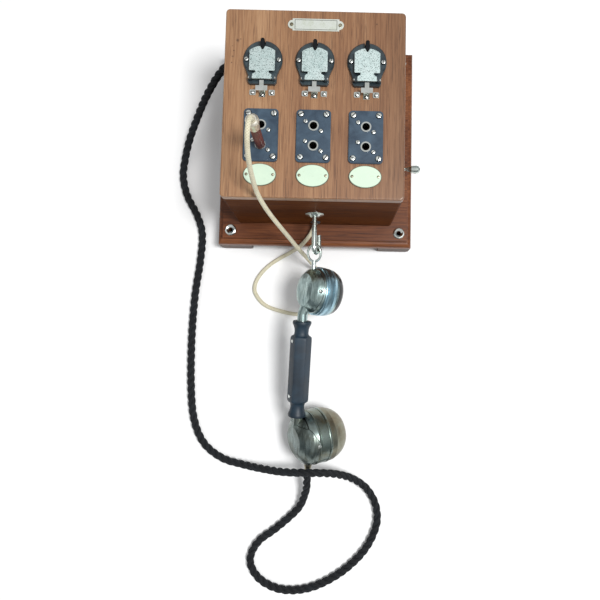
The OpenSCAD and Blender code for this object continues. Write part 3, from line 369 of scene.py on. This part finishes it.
# painted shade: the case's walnut colours are darkened to stand in for the shade on its underside
caseWoodDarkenedForShade = {"dark": "#3a1c0b", "middle": "#5a3118", "light": "#754728", "pore": "#1e0d05", "pores": 0.6,
            "grain": (1.0, 0.03, 1.0), "streak": 420, "broad": 24, "coat": 0.0, "coatRoughness": 0.2,
            "ior": 1.05,  # low, because the old case shows almost no sheen at a slant
            "sideFrom": 0.0905}
boardWood = {"dark": "#48230f", "middle": "#6a3b1f", "light": "#875331", "pore": "#260f06", "pores": 0.6,
             "grain": (0.03, 1.0, 1.0), "streak": 420, "broad": 20, "coat": 0.15, "coatRoughness": 0.25,
             "ior": 1.3}
battenWood = {"dark": "#2d180c", "middle": "#422513", "light": "#573620", "pore": "#190c06", "pores": 0.6,
              "grain": (1.0, 0.04, 1.0), "streak": 260, "broad": 25, "coat": 0.0, "coatRoughness": 0.4,
              "ior": 1.3}


def grainColours(tree, shader, grainPlace, recipe):
    # broad tones, fine streaks and short dark pores, all drawn out along the grain
    broad = cloud(tree, grainPlace, recipe["broad"], 4, 0.5, 0.3)
    streak = cloud(tree, grainPlace, recipe["streak"], 5, 0.62, 0.1)
    both = sums(tree, "ADD", sums(tree, "MULTIPLY", broad, 0.5), sums(tree, "MULTIPLY", streak, 0.5))
    base = ramp(tree, both, [(0.36, tone(recipe["dark"])), (0.5, tone(recipe["middle"])),
                             (0.64, tone(recipe["light"]))])
    poreField = cloud(tree, grainPlace, 1500, 2, 0.5)
    pores = ramp(tree, poreField, [(0.55, grey(0)), (0.66, grey(recipe["pores"]))])
    base = mixed(tree, pores, base, tone(recipe["pore"]))
    tree.links.new(base, shader.inputs["Base Color"])
    rough = ramp(tree, streak, [(0.3, grey(0.36)), (0.7, grey(0.52))])
    tree.links.new(rough, shader.inputs["Roughness"])
    first = bumped(tree, shader, streak, 0.1, 0.0004)
    bumped(tree, shader, sums(tree, "SUBTRACT", 1.0, pores), 0.25, 0.0002, first)
    shader.inputs["IOR"].default_value = recipe["ior"]
    shader.inputs["Coat Weight"].default_value = recipe["coat"]
    shader.inputs["Coat Roughness"].default_value = recipe["coatRoughness"]
    return base


def varnishedPanel(recipe):
    material, tree, shader, place = startMaterial("varnishedWalnutPanel")
    grainPlace = stretched(tree, place, recipe["grain"])
    base = grainColours(tree, shader, grainPlace, recipe)
    wobble = cloud(tree, place, 700, 3)
    spots = None
    for x, y, size in recipe["knocks"]:
        away = addNode(tree, "VectorMath", {0: place, 1: (x, y, recipe["face"])},
                       operation="DISTANCE").outputs["Value"]
        near = sums(tree, "DIVIDE", away, size * 1.6)
        near = sums(tree, "ADD", near, sums(tree, "MULTIPLY", wobble, 0.9))
        spot = ramp(tree, near, [(0.55, grey(1)), (1.0, grey(0))])
        spots = spot if spots is None else sums(tree, "MAXIMUM", spots, spot)
    base = mixed(tree, sums(tree, "MULTIPLY", spots, 0.75), base, tone(recipe["knock"]))
    # painted light and shade: lighter towards the left, darker towards the right, as the light falls across
    # the panel
    axes = addNode(tree, "SeparateXYZ", {0: place})
    paintedSideLight = ramp(tree, sums(tree, "MULTIPLY_ADD", axes.outputs["X"], 5.0, 0.5),
                 [(0.04, tone("#ffffff")), (0.5, tone("#f4eeea")), (0.8, tone("#d9cdc6")),
                  (0.96, tone("#bdb0a8"))])
    base = mixed(tree, 0.85, base, paintedSideLight, "MULTIPLY")
    cracks = None
    for x, sway in recipe["cracks"]:
        drift = cloud(tree, stretched(tree, place, (0, 1, 0)), 60, 3)
        wander = sums(tree, "MULTIPLY_ADD", drift, sway * 4, x - sway * 2)
        near = sums(tree, "ABSOLUTE", sums(tree, "SUBTRACT", axes.outputs["X"], wander))
        crack = sums(tree, "MULTIPLY", sums(tree, "LESS_THAN", near, recipe["crackWidth"] / 2),
                     sums(tree, "LESS_THAN", axes.outputs["Y"], recipe["crackTop"]))
        cracks = crack if cracks is None else sums(tree, "MAXIMUM", cracks, crack)
    base = mixed(tree, sums(tree, "MULTIPLY", cracks, 0.7), base, tone(recipe["crack"]))
    tree.links.new(base, shader.inputs["Base Color"])
    return material


def varnishedCase(recipe):
    # boards along x above and below, along y at the sides
    material, tree, shader, place = startMaterial("varnishedWalnutCase")
    across = addNode(tree, "SeparateXYZ", {0: place}).outputs["X"]
    sideBoard = sums(tree, "GREATER_THAN", sums(tree, "ABSOLUTE", across), recipe["sideFrom"])
    alongX = stretched(tree, place, (recipe["grain"][1], 1, 1))
    alongY = stretched(tree, place, recipe["grain"])
    chosen = addNode(tree, "Mix", {0: sideBoard, 4: alongX, 5: alongY}, data_type="VECTOR").outputs[1]
    grainColours(tree, shader, chosen, recipe)
    return material


def plainWood(name, recipe):
    material, tree, shader, place = startMaterial(name)
    grainColours(tree, shader, stretched(tree, place, recipe["grain"]), recipe)
    return material


dress(["front_panel"], varnishedPanel(panelWood))
dress(["case_frame"], varnishedCase(caseWoodDarkenedForShade))
dress(["backboard"], plainWood("varnishedWalnutBoard", boardWood))
dress(["wall_battens"], plainWood("stainedBattenWood", battenWood))
dress(["terminal_strip"], plainWood("plainHardwood", battenWood))
print("wood finished")


def platedMetal(name, recipe):
    # plated or bare metal with clouded tarnish, wiping marks and a few pits
    material, tree, shader, place = startMaterial(name, Metallic=1.0)
    clouded = cloud(tree, place, recipe.get("cloud", 90), 6, 0.65, 0.3)
    fine = cloud(tree, place, recipe.get("fine", 900), 4, 0.6)
    base = mixed(tree, ramp(tree, clouded, [(0.4, grey(0)), (0.72, grey(1))]), tone(recipe["bright"]),
                 tone(recipe["tarnish"]))
    pitFrom = recipe.get("pitFrom", 0.6)
    pits = ramp(tree, fine, [(pitFrom, grey(0)), (pitFrom + 0.13, grey(recipe.get("pits", 0.3)))])
    base = mixed(tree, pits, base, tone(recipe["pit"]))
    tree.links.new(base, shader.inputs["Base Color"])
    low, high = recipe["rough"]
    polish = ramp(tree, clouded, [(0.3, grey(low)), (0.75, grey(high))])
    tree.links.new(polish, shader.inputs["Roughness"])
    bumped(tree, shader, fine, recipe.get("bump", 0.08), 0.0002)
    return material


def slotted(material, level):
    # painted shade: the screws' slots are darkened below this height in metres, standing in for the shade
    # in them
    tree = material.node_tree
    shader = tree.nodes["Principled BSDF"]
    place = addNode(tree, "TexCoord").outputs["Object"]
    depth = addNode(tree, "SeparateXYZ", {0: place}).outputs["Z"]
    dirtAndShade = sums(tree, "LESS_THAN", depth, level)
    plated = shader.inputs["Base Color"].links[0].from_socket
    tree.links.new(mixed(tree, dirtAndShade, plated, tone("#15110d")), shader.inputs["Base Color"])
    return material


# nickel plate clouded by age: soft grey-white reflections
nickel = platedMetal("oldNickelPlate", {"bright": "#d3dcd8", "tarnish": "#a9b3ab", "pit": "#5c6258",
                                        "rough": (0.16, 0.34)})
brightNickel = platedMetal("brightNickelPlate", {
    "bright": "#e6ebe8", "tarnish": "#c2c7c0", "pit": "#6b6a5c", "rough": (0.14, 0.28), "pits": 0.2})
# nickel plate pitted all over: pale with dark specks
shutterNickel = platedMetal("speckledNickelPlate", {
    "bright": "#dcecea", "tarnish": "#b3c6c4", "pit": "#33403c", "rough": (0.4, 0.6), "pits": 0.95,
    "fine": 1000, "cloud": 160, "bump": 0.5, "pitFrom": 0.53})
# nickel worn through to the bronze below: warm grey with brown patches
bronzedNickel = platedMetal("wornNickelOverBronze", {
    "bright": "#8b8d7e", "tarnish": "#6e5534", "pit": "#3a2e1e", "rough": (0.3, 0.44), "cloud": 30,
    "pits": 0.4})
# blackened soft iron, lacquered brass, spring steel and worn plate, each with its own tarnish
darkIron = platedMetal("blackenedIron", {"bright": "#2b2d2f", "tarnish": "#1b1c1e", "pit": "#3b2d24",
                                         "rough": (0.4, 0.6)})
lacqueredBrass = platedMetal("lacqueredBrass", {"bright": "#c9a35c", "tarnish": "#8d6a34", "pit": "#4f3c20",
                                                "rough": (0.22, 0.4)})
brightSteel = platedMetal("brightSteel", {"bright": "#c9cbc8", "tarnish": "#a2a4a0", "pit": "#6a655c",
                                          "rough": (0.2, 0.35)})
oldNickel = platedMetal("wornNickelOverBrass", {"bright": "#a3a08f", "tarnish": "#7b7259", "pit": "#453d2b",
                                                "rough": (0.25, 0.45), "pits": 0.5})


def ebonite(name, recipe):
    # hard rubber: dark, slightly greyed, with faint wiping marks
    material, tree, shader, place = startMaterial(name)
    haze = cloud(tree, place, recipe.get("cloud", 70), 6, 0.6, 0.4)
    fine = cloud(tree, place, 1600, 3)
    base = mixed(tree, ramp(tree, haze, [(0.35, grey(0)), (0.7, grey(1))]), tone(recipe["deep"]),
                 tone(recipe["greyed"]))
    specks = ramp(tree, fine, [(0.66, grey(0)), (0.76, grey(recipe.get("specks", 0.25)))])
    base = mixed(tree, specks, base, tone(recipe["speck"]))
    tree.links.new(base, shader.inputs["Base Color"])
    low, high = recipe["rough"]
    polish = ramp(tree, haze, [(0.3, grey(low)), (0.75, grey(high))])
    tree.links.new(polish, shader.inputs["Roughness"])
    bumped(tree, shader, fine, recipe.get("bump", 0.06), 0.0002)
    return material


baseEbonite = ebonite("polishedEbonite", {"deep": "#20292e", "greyed": "#3c4a4f", "speck": "#6a7a7c",
                                          "rough": (0.2, 0.4)})
plateEbonite = ebonite("greyedEbonitePlate", {"deep": "#27394a", "greyed": "#3b5163", "speck": "#6a7c86",
                                              "rough": (0.35, 0.55)})
gripEbonite = ebonite("gripEbonite", {"deep": "#0d1c28", "greyed": "#1b3242", "speck": "#56707f",
                                      "rough": (0.42, 0.6), "cloud": 50, "specks": 0.4})
capEbonite = ebonite("earCapEbonite", {"deep": "#0d1013", "greyed": "#1b2023", "speck": "#3a4446",
                                       "rough": (0.12, 0.25)})


labelSetup = {"pitch": 0.0525, "halfWidth": 0.0165, "halfHeight": 0.0113, "level": -0.075,
              "pale": "#d3e6cf", "cool": "#c3d9c4", "stain": "#a9b08c", "rim": "#3a3423"}


def ivoryPlate(setup):
    # pale celluloid, smooth, with a dark line round its rim
    material, tree, shader, place = startMaterial("ivoryCelluloid", Roughness=0.35)
    haze = cloud(tree, place, 50, 5)
    base = mixed(tree, haze, tone(setup["pale"]), tone(setup["cool"]))
    stains = ramp(tree, cloud(tree, place, 300, 5, 0.7), [(0.6, grey(0)), (0.85, grey(0.5))])
    base = mixed(tree, stains, base, tone(setup["stain"]))
    # a dark line round each oval's edge; the ovals repeat at the lines' pitch
    axes = addNode(tree, "SeparateXYZ", {0: place})
    turn = sums(tree, "ROUND", sums(tree, "DIVIDE", axes.outputs["X"], setup["pitch"]))
    aside = sums(tree, "MULTIPLY_ADD", turn, -setup["pitch"], axes.outputs["X"])
    fromX = sums(tree, "DIVIDE", aside, setup["halfWidth"])
    above = sums(tree, "ADD", axes.outputs["Y"], -setup["level"])
    fromY = sums(tree, "DIVIDE", above, setup["halfHeight"])
    reach = sums(tree, "ADD", sums(tree, "MULTIPLY", fromX, fromX), sums(tree, "MULTIPLY", fromY, fromY))
    rim = ramp(tree, reach, [(0.89, grey(0)), (0.94, grey(0.9))])
    base = mixed(tree, rim, base, tone(setup["rim"]))
    tree.links.new(base, shader.inputs["Base Color"])
    bumped(tree, shader, haze, 0.05, 0.0005)
    return material


def fibreSleeve():
    # red vulcanised fibre: dull, with streaks along the sleeve
    material, tree, shader, place = startMaterial("vulcanisedRedFibre", Roughness=0.5)
    streak = cloud(tree, stretched(tree, place, (1, 1, 0.08)), 500, 6, 0.7)
    base = ramp(tree, streak, [(0.3, tone("#44201a")), (0.55, tone("#6d342c")),
                               (0.75, tone("#86483e"))])
    tree.links.new(base, shader.inputs["Base Color"])
    bumped(tree, shader, streak, 0.25, 0.0004)
    return material


def silkWire():
    # turns of silk-covered wire: green with darker gaps
    material, tree, shader, place = startMaterial("greenSilkWire", Roughness=0.6)
    turns = addNode(tree, "TexWave", {"Vector": place, "Scale": 900.0, "Distortion": 0.4},
                    bands_direction="Z").outputs["Fac"]
    base = mixed(tree, turns, tone("#15200f"), tone("#3c5a30"))
    tree.links.new(base, shader.inputs["Base Color"])
    bumped(tree, shader, turns, 0.6, 0.0003)
    return material


nameplateSetup = {"halfWidth": 0.0213, "halfHeight": 0.0050, "level": 0.0819, "lineWidth": 0.0006,
                  "line": "#3b3a32",
                  "metal": {"bright": "#eef3ec", "tarnish": "#cdd3c4", "pit": "#8a8a76",
                            "rough": (0.4, 0.55), "cloud": 200, "pits": 0.5}}


def engravedPlate(setup):
    # bright nickel with a thin engraved line inside its edge
    material = platedMetal("engravedNickelPlate", setup["metal"])
    tree = material.node_tree
    shader = tree.nodes["Principled BSDF"]
    axes = addNode(tree, "SeparateXYZ", {0: addNode(tree, "TexCoord").outputs["Object"]})
    fromX = sums(tree, "SUBTRACT", sums(tree, "ABSOLUTE", axes.outputs["X"]), setup["halfWidth"])
    above = sums(tree, "SUBTRACT", axes.outputs["Y"], setup["level"])
    fromY = sums(tree, "SUBTRACT", sums(tree, "ABSOLUTE", above), setup["halfHeight"])
    edge = sums(tree, "ABSOLUTE", sums(tree, "MAXIMUM", fromX, fromY))
    line = sums(tree, "LESS_THAN", edge, setup["lineWidth"] / 2)
    plated = shader.inputs["Base Color"].links[0].from_socket
    base = mixed(tree, sums(tree, "MULTIPLY", line, 0.75), plated, tone(setup["line"]))
    tree.links.new(base, shader.inputs["Base Color"])
    return material


screwRecipe = {"bright": "#e6ebe8", "tarnish": "#c2c7c0", "pit": "#6b6a5c", "rough": (0.25, 0.4),
               "pits": 0.2}
dress(["nameplate"], engravedPlate(nameplateSetup))
dress(["shutter_1", "shutter_2", "shutter_3"], shutterNickel)
dress(["hook_rosette", "hook_rod", "side_lever", "hanging_ring"], nickel)
dress(["wall_eyelets"], brightNickel)
dress(["drop_screws"], slotted(platedMetal("dropScrewNickel", screwRecipe), 0.16198))
dress(["plate_screws"], slotted(platedMetal("plateScrewNickel", screwRecipe), 0.16045))
dress(["jack_screws"], slotted(platedMetal("jackScrewNickel", screwRecipe), 0.16020))
dress(["contact_screws"], slotted(platedMetal("contactScrewNickel", screwRecipe), 0.15893))
dress(["jack_bushes", "grip_screws", "shutter_pins", "handset_tube", "bell_contacts"], brightNickel)
dress(["name_screws"], oldNickel)
dress(["drop_base_1", "drop_base_2", "drop_base_3", "cord_glands"], baseEbonite)
dress(["jack_plate_1", "jack_plate_2", "jack_plate_3"], plateEbonite)
dress(["latch_1", "latch_2", "latch_3", "drop_yokes", "case_screws"], darkIron)
dress(["hook_spring"], brightSteel)
dress(["drop_coil_1", "drop_coil_2", "drop_coil_3", "induction_coil"], silkWire())
dress(["jack_springs", "hook_guide", "hook_contacts", "lever_bush", "side_screw", "plug_pin"],
      lacqueredBrass)
dress(["label_1", "label_2", "label_3"], ivoryPlate(labelSetup))
dress(["plug_sleeve"], fibreSleeve())
dress(["plug_cap"], platedMetal("paleNickelCap", {
    "bright": "#ece7da", "tarnish": "#cfc6b2", "pit": "#77705c", "rough": (0.3, 0.5), "cloud": 200}))
dress(["cord_tail"], oldNickel)
dress(["ear_cap"], capEbonite)
dress(["grip"], gripEbonite)
dress(["transmitter_cap"], bronzedNickel)
print("finishes made")


handsetSetup = {"place": (-0.013, -0.270, 0.0639), "tilt": 11.0, "roll": 30.0, "turn": -2.5,
                "receiverAt": (0.015, 0.089, 0), "receiverLean": -7.0,
                "transmitterAt": (0.0306, -0.0807, 0), "transmitterLean": 6.0}


def turned(degrees, axis):
    return Matrix.Rotation(math.radians(degrees), 4, axis)


handsetFrame = (Matrix.Translation(handsetSetup["place"]) @ turned(handsetSetup["turn"], "Z")
                @ turned(handsetSetup["tilt"], "X") @ turned(handsetSetup["roll"], "Y"))
receiverFrame = (handsetFrame @ Matrix.Translation(handsetSetup["receiverAt"])
                 @ turned(handsetSetup["receiverLean"], "Z") @ turned(90, "Y"))
transmitterFrame = (handsetFrame @ Matrix.Translation(handsetSetup["transmitterAt"])
                    @ turned(handsetSetup["transmitterLean"], "Z") @ turned(90, "Y"))


def yokeMetal(name, recipe, edgeLine):
    # cast yoke drawn out in long streaks, painted darker partly as painted reflection streaks, on one side
    # of a groove painted dark as painted shade, the polished case on the other;
    # edgeLine gives the groove as (distance along the handset, distance across) in millimetres
    material = platedMetal(name, recipe)
    tree = material.node_tree
    shader = tree.nodes["Principled BSDF"]
    back = handsetFrame.inverted()
    place = addNode(tree, "TexCoord").outputs["Object"]
    local = addNode(tree, "Mapping", {"Vector": place, "Rotation": back.to_euler("XYZ"),
                                      "Location": back.to_translation()}).outputs["Vector"]
    axes = addNode(tree, "SeparateXYZ", {0: local})
    first, last = edgeLine[0][0], edgeLine[-1][0]
    climbed = sums(tree, "SUBTRACT", axes.outputs["Y"], first / 1000)
    share = sums(tree, "DIVIDE", climbed, (last - first) / 1000)
    edge = ramp(tree, share, [((y - first) / (last - first), grey(x / 20)) for y, x in edgeLine])
    away = sums(tree, "SUBTRACT", axes.outputs["X"], sums(tree, "MULTIPLY", edge, 0.02))
    fromGroove = sums(tree, "ABSOLUTE", sums(tree, "SUBTRACT", away, 0.0003))
    groove = sums(tree, "LESS_THAN", fromGroove, 0.0006)
    onYoke = sums(tree, "LESS_THAN", away, 0.0)
    streak = cloud(tree, stretched(tree, local, (1, 0.06, 1)), 420, 5, 0.6)
    # the yoke's dark streaks are partly its cast surface and partly painted reflection streaks
    streakAndReflection = sums(tree, "MULTIPLY", onYoke, ramp(tree, streak, [(0.4, grey(0)), (0.62, grey(0.65))]))
    plated = shader.inputs["Base Color"].links[0].from_socket
    base = mixed(tree, streakAndReflection, plated, tone(recipe["streak"]))
    # painted shade: a dark line along the groove between the yoke and the case
    base = mixed(tree, sums(tree, "MULTIPLY", groove, 0.85), base, tone("#15130f"))
    tree.links.new(base, shader.inputs["Base Color"])
    height = sums(tree, "MULTIPLY", streak, onYoke)
    bumped(tree, shader, height, 0.3, 0.0008)
    return material


receiverYoke = {"bright": "#b9cdca", "tarnish": "#84989a", "pit": "#4c564e", "streak": "#62736f",
                "rough": (0.24, 0.38), "cloud": 60, "pits": 0.25,
                "edge": [(64, 5), (65.6, 5), (66.8, 6.9), (75.4, 7.6), (85, 10.6), (93.4, 12.4),
                         (101.7, 12.6), (111.1, 10.8), (118, 8)]}
transmitterYoke = {"bright": "#8d9c9a", "tarnish": "#66675b", "pit": "#403626", "streak": "#4a514b",
                   "rough": (0.24, 0.38), "cloud": 45, "pits": 0.4,
                   "edge": [(-112, 12), (-106, 15), (-98, 13.4), (-91.2, 13.8), (-84.6, 15.8),
                            (-82.8, 17.4), (-80, 17.7), (-72.6, 12), (-66.2, 7.6), (-64.5, 5.5)]}
dress(["receiver_body"], yokeMetal("receiverNickelYoke", receiverYoke, receiverYoke["edge"]))
dress(["transmitter_body"], yokeMetal("transmitterBronzeYoke", transmitterYoke, transmitterYoke["edge"]))


def spunPiece(name, profile, steps, place, material):
    # a closed outline of (radius, height) in mm, spun round z into a ring
    shape = bmesh.new()
    verts = [shape.verts.new((r / 1000, 0, z / 1000)) for r, z in profile]
    edges = [shape.edges.new(pair) for pair in zip(verts, verts[1:] + verts[:1])]
    bmesh.ops.spin(shape, geom=verts + edges, cent=(0, 0, 0), axis=(0, 0, 1), angle=math.tau, steps=steps,
                   use_merge=True)
    bmesh.ops.recalc_face_normals(shape, faces=shape.faces)
    shape.transform(place)
    mesh = bpy.data.meshes.new(name)
    shape.to_mesh(mesh)
    shape.free()
    return showMesh(name, mesh, material, 40)


# polished bands: cool nickel on the receiver, greyer and browner on the transmitter
polishedBand = platedMetal("polishedNickelBand", {
    "bright": "#a6c8d6", "tarnish": "#7f9aa4", "pit": "#49555a", "rough": (0.26, 0.4), "cloud": 70})
bronzeBand = platedMetal("polishedBronzeBand", {
    "bright": "#87958f", "tarnish": "#6f6750", "pit": "#403626", "rough": (0.26, 0.38), "cloud": 50})
# flange and ring lines of each case, as (radius, height) along its own axis
ringSetup = {
    "steps": 160,
    "receiver": [
        (25.7, -1.4), (27.1, -1.2), (27.5, -0.5), (27.45, 0.6), (26.9, 1.1), (26.65, 1.5), (27.3, 1.9),
        (27.5, 2.3), (27.4, 2.7), (27.12, 2.9), (27.12, 3.1), (27.4, 3.3), (27.5, 5.5), (27.3, 7.4),
        (27.0, 7.6), (26.95, 7.9), (27.25, 8.1), (27.2, 8.8), (26.9, 9.1), (26.9, 9.5), (27.2, 9.8),
        (27.0, 10.3), (26.75, 10.7), (26.7, 12.6), (26.5, 13), (25.7, 13)],
    "transmitter": [
        (30.4, -14.4), (31.2, -14.1), (31.75, -13.4), (31.7, -12.7), (31.1, -12.1), (31.1, -11.8),
        (31.45, -11.5), (31.55, -6), (31.5, -2.1), (31.2, -1.8), (31.2, -1.5), (31.8, -1.2),
        (31.95, -0.6), (31.95, 0.9), (31.7, 1.5), (30.4, 1.5)],
}
receiverRings = spunPiece("receiverRings", ringSetup["receiver"], ringSetup["steps"], receiverFrame,
                          polishedBand)
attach(receiverRings, "handset")
transmitterRings = spunPiece("transmitterRings", ringSetup["transmitter"], ringSetup["steps"],
                             transmitterFrame, bronzeBand)
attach(transmitterRings, "handset")


gripSetup = {"radius": 12.4, "length": 110.0, "segments": 36, "cornerReach": 0.975,
             # share of the length, radius of the corners, how round the section is
             "outline": [(0, 0.80, 1), (0.004, 0.84, 1), (0.02, 0.86, 1), (0.034, 0.82, 1), (0.05, 0.74, 1),
                         (0.08, 0.66, 1), (0.115, 0.64, 1), (0.135, 0.66, 1), (0.148, 0.74, 0.7),
                         (0.155, 0.88, 0.3), (0.163, 0.955, 0.1), (0.175, 0.99, 0), (0.19, 1, 0),
                         (0.5, 1, 0),
                         (0.81, 1, 0), (0.825, 0.99, 0), (0.837, 0.955, 0.1), (0.845, 0.88, 0.3),
                         (0.852, 0.74, 0.7), (0.865, 0.66, 1), (0.885, 0.64, 1), (0.92, 0.66, 1),
                         (0.95, 0.74, 1), (0.966, 0.8, 1), (0.98, 0.82, 1), (0.996, 0.8, 1), (1, 0.77, 1)]}


def makeGrip(setup):
    # rings from a circle to a rounded hexagon and back, joined along the handset
    shape = bmesh.new()
    loops = []
    for share, size, roundness in setup["outline"]:
        ring = bmesh.ops.create_circle(shape, segments=setup["segments"], radius=1)["verts"]
        for vertex in ring:
            angle = math.atan2(vertex.co.y, vertex.co.x)
            fromFlat = (math.degrees(angle) + 30) % 60 - 30
            corner = math.cos(math.radians(30)) / math.cos(math.radians(fromFlat))
            corner = min(corner, setup["cornerReach"])  # rounds the six corners off
            reach = setup["radius"] * size * (roundness + (1 - roundness) * corner) / 1000
            level = setup["length"] * (0.5 - share) / 1000
            vertex.co = (reach * math.cos(angle), level, reach * math.sin(angle))
        loops.append(list({edge for vertex in ring for edge in vertex.link_edges}))
    for first, second in zip(loops, loops[1:]):
        bmesh.ops.bridge_loops(shape, edges=first + second)
    bmesh.ops.holes_fill(shape, edges=loops[0] + loops[-1])
    bmesh.ops.recalc_face_normals(shape, faces=shape.faces)
    shape.transform(handsetFrame)
    mesh = bpy.data.meshes.new("gripTurned")
    shape.to_mesh(mesh)
    shape.free()
    piece = showMesh("gripTurned", mesh, gripEbonite, 28)
    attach(piece, "handset")
    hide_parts("grip")
    return piece


makeGrip(gripSetup)


springSetup = {"turns": 6, "radius": 4.2, "wire": 0.6, "axis": (0.0011, 0.091), "stepsPerTurn": 32}


def makeSpring(setup):
    # the hook's return spring of round wire, squeezed between its guide and the rod's collar
    levels = [corner[1] for corner in nodes["hook_spring"].bound_box]
    first, last = min(levels) + setup["wire"] / 1000, max(levels) - setup["wire"] / 1000
    count = setup["turns"] * setup["stepsPerTurn"]
    x, z = setup["axis"]
    reach = setup["radius"] / 1000
    wire = []
    for k in range(count + 1):
        angle = math.tau * k / setup["stepsPerTurn"]
        wire.append(Vector((x + reach * math.cos(angle), first + (last - first) * k / count,
                            z + reach * math.sin(angle))))
    mesh = strandMesh("returnSpring", [wire], setup["wire"] / 1000, 10)
    piece = showMesh("returnSpring", mesh, brightSteel)
    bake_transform(piece)
    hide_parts("hook_spring")


makeSpring(springSetup)
print("handset pieces made")


lightSetup = {"lampPower": 44.0, "lampSize": 0.7, "lampPlace": (0.80, -0.30, 2.2),
              "lampAim": (0, -0.15, 0.05), "skyLow": "#3c4248",
              "skyMiddle": "#8f999f", "skyHigh": "#ffffff", "skyStrength": 0.62, "floorTone": "#fcfcfc"}


def makeFloor(setup):
    shape = bmesh.new()
    bmesh.ops.create_grid(shape, x_segments=2, y_segments=2, size=6)
    bmesh.ops.translate(shape, verts=shape.verts, vec=(0, 0, -0.0002))
    mesh = bpy.data.meshes.new("floor")
    shape.to_mesh(mesh)
    shape.free()
    material, tree, shader, place = startMaterial("paleFloor", Roughness=0.9)
    shader.inputs["Specular IOR Level"].default_value = 0.1
    tree.links.new(mixed(tree, cloud(tree, place, 3, 2), tone(setup["floorTone"]), tone("#f7f7f7")),
                   shader.inputs["Base Color"])
    showMesh("floor", mesh, material)


def makeLights(setup):
    lamp = bpy.data.lights.new("keyLamp", "AREA")
    lamp.shape = "DISK"
    lamp.size = setup["lampSize"]
    lamp.energy = setup["lampPower"]
    holder = bpy.data.objects.new("keyLamp", lamp)
    holder.location = setup["lampPlace"]
    aim = Vector(setup["lampAim"]) - Vector(setup["lampPlace"])
    holder.rotation_euler = aim.to_track_quat("-Z", "Y").to_euler()
    bpy.context.scene.collection.objects.link(holder)
    world = bpy.data.worlds.new("softRoom")
    bpy.context.scene.world = world
    world.use_nodes = True
    tree = world.node_tree
    sky = tree.nodes["Background"]
    up = addNode(tree, "SeparateXYZ", {0: addNode(tree, "TexCoord").outputs["Generated"]}).outputs["Z"]
    tree.links.new(ramp(tree, up, [(0.0, tone(setup["skyLow"])), (0.35, tone(setup["skyMiddle"])),
                                   (0.62, tone(setup["skyHigh"]))]), sky.inputs["Color"])
    sky.inputs["Strength"].default_value = setup["skyStrength"]


makeFloor(lightSetup)
makeLights(lightSetup)
print("floor and light set")
